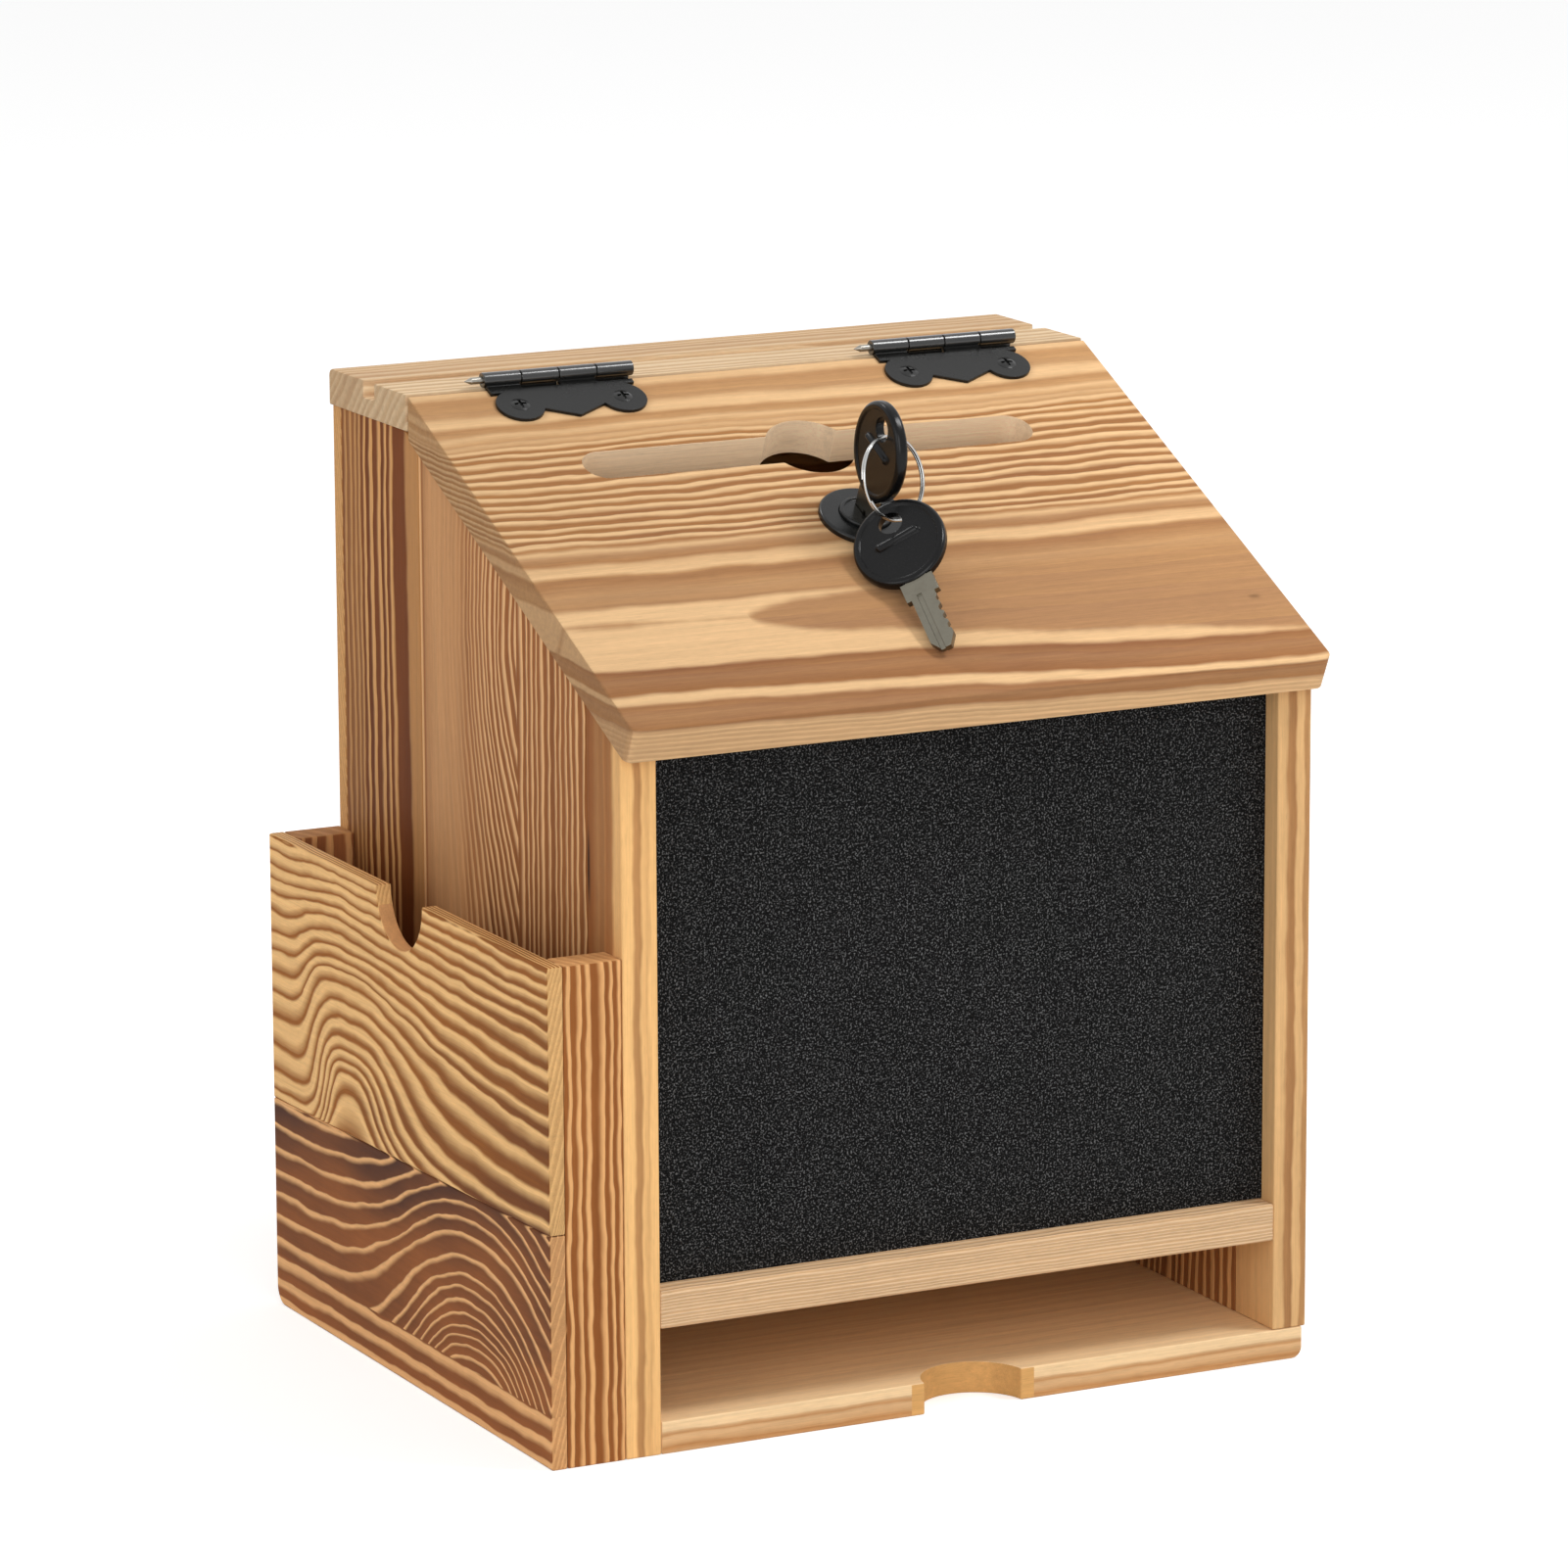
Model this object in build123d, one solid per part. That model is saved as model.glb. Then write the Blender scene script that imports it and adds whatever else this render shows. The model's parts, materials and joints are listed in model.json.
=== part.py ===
"""Wooden suggestion box: a five-sided box with a sloping, hinged and lockable lid, a
chalkboard let into its front, an open tray underneath and a card pocket on its left side.

Frame: X to the right, Y to the back, Z up, in millimetres.
Origin: the middle of the main box's underside, on the surface it stands on.
"""
from build123d import *
from math import cos, radians, sin, sqrt, tan
import os

# Main box
box_width = 200.0            # outer faces of the two side panels
box_depth = 176.0            # front edges to the outer face of the back panel
box_height = 256.0           # top of the flat board
side_thick = 10.0            # side panels
base_thick = 8.6             # bottom board
base_inset = 1.0             # bottom board stops short of the right outer face
base_corner = 3.0            # rounding of its right lower corner
shelf_thick = 10.0           # divider between the tray and the letter space
tray_height = 24.6           # clear height of the tray
back_thick = 5.2             # back panel
stave_front = 20.0           # width of the front stave of a side panel
stave_rear = 50.0            # width of the rear stave of a side panel, from the back panel
notch_radius = 14.2          # finger notch in the front of the bottom board
notch_depth = 13.0

# Flat board behind the lid
top_thick = 9.8
top_overhang = 1.0           # past each side panel
top_corner = 2.0             # rounding of its upper rear edge
groove_width = 7.0           # groove for a sign or card
groove_depth = 4.6
groove_from_back = 26.0      # middle of the groove to the back

# Lid
lid_slope = 25.7             # degrees below level
lid_thick = 10.4
crest_from_front = 125.5     # where the lid's upper face reaches the flat board
lid_past_front = 9.12        # its upper front edge in front of the side panels
lid_overhang = 1.0           # past each side panel
lid_corner = 2.5             # rounding of its front corners
lid_ease = 0.7               # softened upper edges
lid_gap = 0.1                # between the lid and the panels that carry it
slot_length = 132.0          # letter slot, over its round ends
slot_width = 12.0
slot_from_crest = 38.2       # middle of the slot, down the slope
thumb_radius = 12.0          # round widening in the middle of the slot

# Chalkboard
chalk_thick = 3.0
chalk_recess = 7.0           # its face behind the front edges
chalk_inset = 4.0            # how far its edges sit in the side grooves
chalk_fit = 0.1              # clearance of the groove on each face
chalk_top_gap = 0.5          # below the lid

# Pocket on the left side
pocket_gap = 16.4            # clear space between the side panel and the pocket's panel
pocket_thick = 4.4
pocket_height = 130.9
pocket_post = 10.0           # depth of the front and the rear post
pocket_floor_thick = 10.0
pocket_joint_front = 61.4    # height of the glue line between its two boards, in front
pocket_joint_rear = 57.6     # and at the back
pocket_corner = 5.0          # rounding of its lower rear corner
dip_width = 28.7             # round dip in the upper edge
dip_depth = 14.4
dip_back = 2.6               # its middle behind the pocket's middle

# Hinges
hinge_from_side = 42.5       # middle of each hinge from the side panel's outer face
knuckle_radius = 2.0
knuckle_count = 4
barrel_length = 43.8
knuckle_gap = 0.3            # between neighbouring knuckles, and round them
leaf_thick = 1.0
leaf_slot = 3.3              # depth of the slots round the other leaf's knuckles, from the pin
leaf_half_width = 21.5       # over the lobes
leaf_reach = 16.5            # from the crest to the ends of the lobes
lobe_radius = 6.6
leaf_shoulder_half = 20.8    # wide part beside the barrel
leaf_shoulder = 4.0          # its depth from the crest
leaf_notch_x = 8.7           # notches between the lobes
leaf_notch_reach = 12.3
hinge_pin_radius = 0.9
pin_fit = 0.05               # radial clearance of a pin in its bore
pin_point = 5.0              # length of the tip that stands out at the left
leaf_room = 0.4              # between the hidden leaf and the lid's rear face
leaf_edge_gap = 0.6          # from the hidden leaf's lower edge to the flat board's underside

# Hinge screws
screw_radius = 1.2
screw_head_radius = 2.6
screw_length = 8.5           # below the head
screw_dome = 0.5             # height of the lens head above its leaf
screw_fit = 0.05

# Lock
lock_from_crest = 72.2       # down the slope
flange_radius = 12.3
flange_height = 1.8
lock_body_radius = 9.5
lock_body_length = 23.0      # below the lid's upper face
lock_hole_fit = 0.15
nut_flats = 22.0
nut_thick = 4.0
nut_fit = 0.05
plug_radius = 7.0
plug_rise = 2.8              # above the lid's upper face
plug_dish = 0.5              # recess inside the plug's rim
plug_rim = 1.1
cam_gap = 0.3                # below the lock body
cam_thick = 2.0
cam_width = 14.0
cam_reach = 25.0             # from the lock's axis to the tip
cam_screw_radius = 2.0
cam_screw_depth = 4.0        # length in the plug
cam_screw_head = 4.2
cam_screw_head_thick = 2.2

# Strike bar that the cam turns under
bar_width = 12.0
bar_under_lid = 0.3          # gap below the lid
bar_cam_gap = 0.4            # gap above the cam
bar_from_lock = 21.2         # middle of the bar, down the slope from the lock

# Keys
head_width = 25.0
head_length = 27.2
head_thick = 3.4
head_edge = 1.2              # rounding of the rim
head_rim = 2.0
head_recess = 0.45           # depth of each sunk face
key_hole_radius = 3.2
key_hole_offset = 6.9        # from the middle of the head
ridge_length = 13.0          # raised bar across each face
ridge_width = 2.2
ridge_offset = 1.0
blade_thick = 2.0
blade_width = 6.6
blade_tip = 37.5             # end of the blade from the middle of the head
shoulder_width = 9.2
shoulder_end = 19.1          # from the middle of the head
tang_depth = 5.5             # length of blade inside the head
tang_width = 6.0
bit_count = 4
bit_pitch = 3.2
bit_depth = 0.9
keyway_fit = 0.15
key_rest_gap = 0.1           # between the key's shoulder and the plug

# Split ring
ring_radius = 11.0           # to the middle of the wire
wire_radius = 0.36
ring_turn = 20.0             # degrees that its plane is turned from the box's width
ring_lean = 13.0             # degrees that its foot leans down the slope
wire_drop = 1.8              # wire below the middle of the hole that carries the ring
spare_turn = 22.0            # degrees round the ring from its lowest point to the spare key
spare_wire_rise = 2.2        # wire above the middle of the spare key's hole
spare_tip_x = -5.2           # where the spare key's tip lies
spare_tip_rise = 2.65        # middle of the tip above the lid
spare_roll = 215.5           # degrees, turn of the spare key about its own length

slope = radians(lid_slope)
half_width = box_width / 2
front_y = -box_depth / 2
back_y = box_depth / 2
back_inner_y = back_y - back_thick
inner_x = half_width - side_thick
shelf_z = base_thick + tray_height
floor_z = shelf_z + shelf_thick
top_under_z = box_height - top_thick

crest_y = front_y + crest_from_front
lid_length = (crest_from_front + lid_past_front) / cos(slope)
hinge_z = box_height + knuckle_radius / cos(slope)
hinge_spread = half_width - hinge_from_side
lobe_middle = leaf_half_width - lobe_radius
lobe_down = leaf_reach - lobe_radius
hidden_reach = top_thick - leaf_edge_gap
hidden_screw_down = top_thick / 2
top_front_y = crest_y + leaf_thick / 2
lid_rear_y = crest_y - leaf_thick / 2 - leaf_room

up_slope = Vector(0, cos(slope), sin(slope))
outward = Vector(0, -sin(slope), cos(slope))
crest = Vector(0, crest_y, box_height)
lid_frame = Plane(origin=crest, x_dir=(1, 0, 0), z_dir=outward)
lock_centre = crest - up_slope * lock_from_crest
lock_frame = Plane(origin=lock_centre, x_dir=(1, 0, 0), z_dir=outward)


def block(x0, x1, y0, y1, z0, z1):
    """A board between two corners."""
    size = (x1 - x0, y1 - y0, z1 - z0)
    return Pos((x0 + x1) / 2, (y0 + y1) / 2, (z0 + z1) / 2) * Box(*size)


def prism_x(points, x0, x1):
    """A profile of (y, z) points carried along X."""
    face = make_face(Polyline(*[(x0, y, z) for y, z in points], close=True))
    return extrude(face, amount=x1 - x0, dir=(1, 0, 0))


def under_lid(y, drop=0.0):
    """Height of a plane parallel to the lid, drop below its underside, at y."""
    return box_height - (lid_thick + drop) / cos(slope) + (y - crest_y) * tan(slope)


def on_lid(x, down, rise=0.0):
    """The point at x, so far down the slope from the crest and above the upper face."""
    return crest + Vector(x, 0, 0) - up_slope * down + outward * rise


def side_panel(x0, x1, z0):
    """A side panel whose upper edge follows the lid and then the flat board."""
    turn_y = crest_y + (top_under_z - under_lid(crest_y, lid_gap)) / tan(slope)
    points = [(front_y, z0), (back_inner_y, z0), (back_inner_y, top_under_z)]
    points += [(turn_y, top_under_z), (front_y, under_lid(front_y, lid_gap))]
    panel = prism_x(points, x0, x1)
    inner = x1 if x0 < 0 else x0
    toward = -1 if x0 < 0 else 1
    deep = inner + toward * (chalk_inset + chalk_fit)
    groove_y = front_y + chalk_recess
    groove = block(min(inner, deep), max(inner, deep), groove_y - chalk_fit,
                   groove_y + chalk_thick + chalk_fit, floor_z - chalk_fit, box_height)
    return panel - groove


def staves(panel, side):
    """The panel's three boards, glued edge to edge."""
    front_joint = front_y + stave_front
    rear_joint = back_inner_y - stave_rear
    edges = [("front", front_y, front_joint), ("middle", front_joint, rear_joint)]
    edges.append(("rear", rear_joint, back_inner_y))
    pieces = {}
    for word, y0, y1 in edges:
        reach = block(-box_width, box_width, y0, y1, -1, box_height + 1)
        pieces[f"{side}_side_{word}_stave"] = panel & reach
    return pieces


def carcass():
    """The boards that make up the main box."""
    pieces = staves(side_panel(-half_width, -inner_x, 0), "left")
    pieces.update(staves(side_panel(inner_x, half_width, base_thick), "right"))

    base = block(-inner_x, half_width - base_inset, front_y, back_inner_y, 0, base_thick)
    lower = base.edges().filter_by(Axis.Y).group_by(Axis.Z)[0].sort_by(Axis.X)[-1]
    base = fillet(lower, base_corner)
    notch_y = front_y + notch_depth - notch_radius
    base -= Pos(0, notch_y, base_thick / 2) * Cylinder(notch_radius, base_thick + 2)
    pieces["base_board"] = base

    pieces["divider_shelf"] = block(-inner_x, inner_x, front_y, back_inner_y, shelf_z, floor_z)
    pieces["back_panel"] = block(-half_width, half_width, back_inner_y, back_y, 0, top_under_z)

    board_y = front_y + chalk_recess
    board_x = inner_x + chalk_inset
    pieces["chalkboard"] = block(-board_x, board_x, board_y, board_y + chalk_thick,
                                 floor_z, under_lid(board_y) - chalk_top_gap)
    return pieces


def top_board():
    """The flat board behind the lid, with its open-ended groove."""
    reach = half_width + top_overhang
    board = block(-reach, reach, top_front_y, back_y, top_under_z, box_height)
    rear = board.edges().filter_by(Axis.X).group_by(Axis.Z)[-1].sort_by(Axis.Y)[-1]
    board = fillet(rear, top_corner)
    middle = back_y - groove_from_back
    board -= block(-reach - 1, reach + 1, middle - groove_width / 2, middle + groove_width / 2,
                   box_height - groove_depth, box_height + 1)
    for x in hinge_screw_places():
        hole = Cylinder(screw_radius + screw_fit, screw_length + 1)
        board -= hidden_screw_place(x) * Pos(0, 0, -(screw_length + 1) / 2) * hole
    return board


def strike_bar():
    """The cross bar between the side panels that the lock's cam turns under."""
    upper = -lid_thick - bar_under_lid
    lower = -lock_body_length - cam_gap + bar_cam_gap
    middle = -lock_from_crest - bar_from_lock
    bar = Pos(0, middle, (upper + lower) / 2) * Box(2 * inner_x, bar_width, upper - lower)
    return lid_frame * bar


def pocket():
    """The card pocket: two glued boards held off the side by two posts and a floor."""
    inner = -half_width - pocket_gap
    outer = inner - pocket_thick
    panel = block(outer, inner, front_y, back_y, 0, pocket_height)
    corner = panel.edges().filter_by(Axis.X).group_by(Axis.Z)[0].sort_by(Axis.Y)[-1]
    panel = fillet(corner, pocket_corner)
    radius = dip_width / 2
    bottom = pocket_height - dip_depth
    dip = Rot(0, 90, 0) * Cylinder(radius, pocket_thick + 2)
    panel -= Pos((inner + outer) / 2, dip_back, bottom + radius) * dip
    panel -= block(outer - 1, inner + 1, dip_back - radius, dip_back + radius,
                   bottom + radius, pocket_height + 1)

    joint = [(front_y, pocket_joint_front), (back_y, pocket_joint_rear)]
    below = prism_x([(front_y, -1), (back_y, -1)] + joint[::-1], outer - 1, inner + 1)
    pieces = {"pocket_panel_lower": panel & below, "pocket_panel_upper": panel - below}
    for word, y0 in (("front", front_y), ("rear", back_y - pocket_post)):
        post = block(inner, -half_width, y0, y0 + pocket_post, 0, pocket_height)
        pieces[f"pocket_{word}_post"] = post
    pieces["pocket_floor"] = block(inner, -half_width, front_y + pocket_post,
                                   back_y - pocket_post, 0, pocket_floor_thick)
    return pieces


def lid_board():
    """The sloping lid with its letter slot, thumb opening and lock hole."""
    reach = half_width + lid_overhang
    spare = lid_thick
    outline = Pos(0, (spare - lid_length) / 2) * Rectangle(2 * reach, lid_length + spare)
    corners = outline.vertices().group_by(Axis.Y)[0]
    outline = fillet(corners, lid_corner)
    board = lid_frame * extrude(outline, amount=-lid_thick)
    rear = 2 * lid_length
    board &= block(-rear, rear, -rear, lid_rear_y, -rear, rear)
    rim = board.edges().group_by(Axis(crest, outward))[-1].sort_by(Axis.Y)[:-1]
    board = fillet(rim, lid_ease)

    slot = Pos(0, -slot_from_crest) * SlotOverall(slot_length, slot_width)
    slot += Pos(0, -slot_from_crest) * Circle(thumb_radius)
    slot += Pos(0, -lock_from_crest) * Circle(lock_body_radius + lock_hole_fit)
    board -= lid_frame * Pos(0, 0, -2 * lid_thick) * extrude(slot, amount=3 * lid_thick)
    for x in hinge_screw_places():
        hole = Cylinder(screw_radius + screw_fit, screw_length + 1)
        board -= lid_screw_place(x) * Pos(0, 0, -(screw_length + 1) / 2) * hole
    return board


def hinge_screw_places():
    """X of every screw of both hinges."""
    middles = (-hinge_spread, hinge_spread)
    return [middle + side * lobe_middle for middle in middles for side in (-1, 1)]


def lid_screw_place(x):
    """On the lid's upper face, pointing out of it."""
    return Plane(origin=on_lid(x, lobe_down), x_dir=(1, 0, 0), z_dir=outward)


def hidden_screw_place(x):
    """On the front face of the flat board, pointing to the front."""
    point = (x, top_front_y, hinge_z - knuckle_radius * tan(slope) - hidden_screw_down)
    return Plane(origin=point, x_dir=(1, 0, 0), z_dir=(0, -1, 0))


def screw(dome):
    """A wood screw whose head fills its countersunk leaf, standing on Z = leaf_thick."""
    points = [(0, -screw_length), (screw_radius, -screw_length + 2 * screw_radius)]
    points += [(screw_radius, 0), (screw_head_radius, leaf_thick)]
    if dome:
        points += [(screw_head_radius * 0.75, leaf_thick + dome * 0.7)]
        points += [(screw_head_radius * 0.4, leaf_thick + dome)]
    points += [(0, leaf_thick + dome)]
    return revolve(Plane.XZ * make_face(Polyline(*points, close=True)), Axis.Z)


def hidden_outline(upper):
    """Plain strip below the line y = upper, as deep as the flat board's front face."""
    return Pos(0, (upper - hidden_reach) / 2) * Rectangle(2 * leaf_shoulder_half,
                                                          hidden_reach + upper)


def butterfly_outline(upper):
    """Outline below the line y = upper with a neck, two round lobes and a pointed middle."""
    outline = Pos(0, (upper - lobe_down) / 2) * Rectangle(2 * lobe_middle, lobe_down + upper)
    outline += Pos(0, (upper - leaf_shoulder) / 2) * Rectangle(2 * leaf_shoulder_half,
                                                               leaf_shoulder + upper)
    for side in (-1, 1):
        outline += Pos(side * lobe_middle, -lobe_down) * Circle(lobe_radius)
    wedge = [(-leaf_notch_x, 0), (-leaf_notch_x, -leaf_notch_reach), (0, -leaf_reach)]
    wedge += [(leaf_notch_x, -leaf_notch_reach), (leaf_notch_x, 0)]
    return outline + make_face(Polyline(*wedge, close=True))


def knuckles(first):
    """Every second knuckle of the barrel, along X about the origin, without the bore."""
    pitch = barrel_length / knuckle_count
    tubes = []
    for index in range(first, knuckle_count, 2):
        x = -barrel_length / 2 + pitch * (index + 0.5)
        tubes.append(Pos(x, 0, 0) * Rot(0, 90, 0) * Cylinder(knuckle_radius, pitch - knuckle_gap))
    return tubes


def leaf(first, offset, outline, screw_down):
    """A leaf hanging along -Y from a barrel on the X axis, with its screw holes.

    The plate's upper face lies at Z = offset; its knuckles start with number first.
    """
    crest_line = -knuckle_radius * tan(slope)
    plate = Pos(0, crest_line, offset - leaf_thick) * extrude(outline(-crest_line),
                                                              amount=leaf_thick)
    pitch = barrel_length / knuckle_count
    for index in range(1 - first, knuckle_count, 2):
        x = -barrel_length / 2 + pitch * (index + 0.5)
        plate -= Pos(x, 0, 0) * Box(pitch + knuckle_gap, 2 * leaf_slot, 4 * knuckle_radius)
    for side in (-1, 1):
        place = Pos(side * lobe_middle, crest_line - screw_down, offset - leaf_thick / 2)
        plate -= place * Cone(screw_radius + screw_fit, screw_head_radius + screw_fit, leaf_thick)
    for tube in knuckles(first):
        plate += tube
    bore = Rot(0, 90, 0) * Cylinder(hinge_pin_radius + pin_fit, barrel_length + 2)
    return plate - bore


def hinge(word, x):
    """One butterfly hinge: a leaf on the lid, a leaf down the joint, a pin and screws."""
    barrel = Vector(x, crest_y, hinge_z)
    on_slope = Plane(origin=barrel, x_dir=(1, 0, 0), z_dir=outward)
    upright = Plane(origin=barrel, x_dir=(1, 0, 0), z_dir=(0, -1, 0))
    upper = leaf(0, leaf_thick - knuckle_radius, butterfly_outline, lobe_down)
    hidden = leaf(1, leaf_thick / 2, hidden_outline, hidden_screw_down)
    pieces = {f"hinge_{word}_lid_leaf": on_slope * upper}
    pieces[f"hinge_{word}_box_leaf"] = upright * hidden

    half = barrel_length / 2
    tip = half + pin_point
    shape = [(-tip, 0), (-tip + 2, hinge_pin_radius), (half, hinge_pin_radius), (half, 0)]
    pin = revolve(make_face(Polyline(*shape, close=True)), Axis.X)
    pieces[f"hinge_{word}_pin"] = Pos(x, crest_y, hinge_z) * pin

    for side, screw_x in (("left", x - lobe_middle), ("right", x + lobe_middle)):
        name = f"hinge_{word}_screw_{side}"
        pieces[name] = lid_screw_place(screw_x) * screw(screw_dome)
        pieces[f"{name}_hidden"] = hidden_screw_place(screw_x) * screw(0)
    return pieces


def lock():
    """The cam lock, set square to the lid: body, nut, turning plug, cam and cam screw."""
    flange = Pos(0, 0, flange_height / 2) * Cylinder(flange_radius, flange_height)
    flange = fillet(flange.edges().group_by(Axis.Z)[-1], flange_height * 0.45)
    body = Pos(0, 0, -lock_body_length / 2) * Cylinder(lock_body_radius, lock_body_length)
    housing = flange + body
    housing -= Cylinder(plug_radius + pin_fit, 3 * lock_body_length)

    nut = extrude(RegularPolygon(nut_flats / 2, 6, major_radius=False), amount=nut_thick)
    nut -= Cylinder(lock_body_radius + nut_fit, 3 * nut_thick)
    nut = Pos(0, 0, -lid_thick - nut_thick) * nut

    end = lock_body_length + cam_gap
    plug = Pos(0, 0, (plug_rise - end) / 2) * Cylinder(plug_radius, plug_rise + end)
    plug = chamfer(plug.edges().group_by(Axis.Z)[-1], 0.3)
    plug -= Pos(0, 0, plug_rise) * Cylinder(plug_radius - plug_rim, 2 * plug_dish)
    depth = blade_tip - shoulder_end + key_rest_gap + 0.6
    keyway = Box(blade_thick + 2 * keyway_fit, blade_width + 2 * keyway_fit, 2 * depth)
    plug -= Pos(0, 0, plug_rise - plug_dish) * keyway
    plug -= Pos(0, 0, -end) * Cylinder(cam_screw_radius + pin_fit, 2 * cam_screw_depth + 0.2)

    arm = Pos(cam_reach / 2 - cam_width / 4, 0) * Rectangle(cam_reach - cam_width / 2, cam_width)
    arm += Circle(cam_width / 2) + Pos(cam_reach - cam_width / 2, 0) * Circle(cam_width / 2)
    arm -= Circle(cam_screw_radius + pin_fit)
    cam = Pos(0, 0, -end - cam_thick) * extrude(arm, amount=cam_thick)

    under = -end - cam_thick
    head = Pos(0, 0, under - cam_screw_head_thick / 2)
    cam_screw = head * Cylinder(cam_screw_head, cam_screw_head_thick)
    cam_screw = fillet(cam_screw.edges().group_by(Axis.Z)[0], cam_screw_head_thick * 0.35)
    stem = cam_screw_depth + cam_thick
    cam_screw += Pos(0, 0, under + stem / 2) * Cylinder(cam_screw_radius, stem)
    pieces = {"lock_housing": housing, "lock_nut": nut, "lock_plug": plug}
    pieces.update({"lock_cam": cam, "lock_cam_screw": cam_screw})
    return {name: lock_frame * piece for name, piece in pieces.items()}


def key_blade():
    """The key's steel, in its own plane: the tip points to -Y from the head's middle."""
    edge = head_length / 2
    half = blade_width / 2
    wide = shoulder_width / 2
    tang = tang_width / 2
    points = [(-tang, tang_depth - edge), (-tang, 0.4 - edge), (-wide, 0.4 - edge)]
    points += [(-wide, -shoulder_end), (-half, -shoulder_end), (-half, half - blade_tip)]
    points += [(-half * 0.4, -blade_tip), (half * 0.4, -blade_tip), (half, half - blade_tip)]
    points += [(half, -shoulder_end), (wide, -shoulder_end), (wide, 0.4 - edge)]
    points += [(tang, 0.4 - edge), (tang, tang_depth - edge)]
    outline = make_face(Polyline(*points, close=True))
    for index in range(bit_count):
        depth = bit_depth * (0.55 + 0.45 * ((index * 3) % 4) / 3)
        y = -shoulder_end - bit_pitch * (index + 0.9)
        cut = Polyline((half, y - depth - 0.5), (half - depth, y - 0.5), (half - depth, y + 0.5),
                       (half, y + depth + 0.5), (half + 1, y), close=True)
        outline -= make_face(cut)
    blade = extrude(outline, amount=blade_thick / 2, both=True)
    length = blade_tip - shoulder_end
    for side in (-1, 1):
        place = Pos(-half * 0.25, -shoulder_end - length / 2, side * blade_thick / 2)
        blade -= place * Box(blade_width * 0.2, length + 2, blade_thick * 0.4)
    return blade


def key_head():
    """The moulded head: an oval with a raised rim, a hole, a ridge and the blade's pocket."""
    head = extrude(Ellipse(head_width / 2, head_length / 2), amount=head_thick / 2, both=True)
    head = fillet(head.edges(), head_edge)
    sunk = Ellipse(head_width / 2 - head_rim, head_length / 2 - head_rim)
    ridge = Pos(0, ridge_offset) * SlotOverall(ridge_length, ridge_width)
    core = head_thick / 2 - head_recess
    for side in (-1, 1):
        face = Pos(0, 0, side * core) * extrude(sunk - ridge, amount=side * head_thick)
        head -= face
    head -= Pos(0, key_hole_offset) * Cylinder(key_hole_radius, 2 * head_thick)
    return head - key_blade()


def split_ring():
    """Two turns of wire lying side by side, in the XY plane, with both free ends cut."""
    offset = wire_radius * 0.96
    pair = Pos(ring_radius, offset) * Circle(wire_radius)
    pair += Pos(ring_radius, -offset) * Circle(wire_radius)
    ring = revolve(Plane.XZ * pair, Axis.Z)
    for side, angle in ((1, 205), (-1, 245)):
        gap = Pos(ring_radius, 0, side * wire_radius) * Box(4 * wire_radius, 0.6, 2 * wire_radius)
        ring -= Rot(0, 0, angle) * gap
    return ring


def key_places():
    """The planes of the key in the lock, the split ring and the spare key."""
    middle = plug_rise - plug_dish + key_rest_gap + shoulder_end
    first = Plane(origin=lock_centre + outward * middle, x_dir=up_slope, z_dir=(1, 0, 0))

    turn = radians(ring_turn)
    lean = radians(ring_lean)
    across = Vector(cos(turn), sin(turn), 0)
    rise = Vector(-sin(turn) * sin(lean), cos(turn) * sin(lean), cos(lean))
    hole = lock_centre + outward * (middle + key_hole_offset)
    top = hole - Vector(0, 0, wire_drop)
    centre = top - rise * ring_radius
    ring = Plane(origin=centre, x_dir=across, z_dir=across.cross(rise))

    angle = radians(spare_turn)
    wire = centre - (across * sin(angle) + rise * cos(angle)) * ring_radius
    length = blade_tip + key_hole_offset + spare_wire_rise
    rest = wire - on_lid(spare_tip_x, 0, spare_tip_rise)
    run = sqrt(length ** 2 - rest.X ** 2 - rest.dot(outward) ** 2)
    tip = on_lid(spare_tip_x, run - rest.dot(up_slope), spare_tip_rise)
    toward = (tip - wire).normalized()
    level = toward.cross(Vector(0, 0, 1)).normalized()
    roll = radians(spare_roll)
    wide = level * cos(roll) + toward.cross(level) * sin(roll)
    head = wire + toward * (key_hole_offset + spare_wire_rise)
    spare = Plane(origin=head, x_dir=wide, z_dir=wide.cross(toward * -1))
    tangent = across * cos(angle) - rise * sin(angle)
    return {"key": first, "ring": ring, "spare": spare,
            "ring_top": top, "wire": wire, "tangent": tangent}


def keys():
    """Two keys of the same cut on one split ring, the first one standing in the lock."""
    places = key_places()
    pieces = {"key_blade": places["key"] * key_blade(), "key_head": places["key"] * key_head()}
    pieces["key_ring"] = places["ring"] * split_ring()
    pieces["spare_key_blade"] = places["spare"] * key_blade()
    pieces["spare_key_head"] = places["spare"] * key_head()
    return pieces


def build():
    """Every piece of the box by name."""
    pieces = carcass()
    pieces["top_board"] = top_board()
    pieces["strike_bar"] = strike_bar()
    pieces.update(pocket())
    pieces["lid_board"] = lid_board()
    pieces.update(hinge("left", -hinge_spread))
    pieces.update(hinge("right", hinge_spread))
    pieces.update(lock())
    pieces.update(keys())
    return pieces


if __name__ == "__main__":
    os.makedirs("parts", exist_ok=True)
    for name, piece in build().items():
        export_step(piece, f"parts/{name}.step")
    places = key_places()
    for word in ("ring_top", "wire", "tangent"):
        print(word, [round(value, 4) for value in places[word]])
    print("hinge axis", crest_y, round(hinge_z, 4))
    print("lock", [round(value, 4) for value in lock_centre], [round(v, 5) for v in outward])
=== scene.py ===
"""Looks of a wooden suggestion box: its boards, hinges, lock, keys and studio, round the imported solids.

Laid out as a Blender add-on and run as a script. Lengths in the tables are millimetres.
"""

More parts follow.
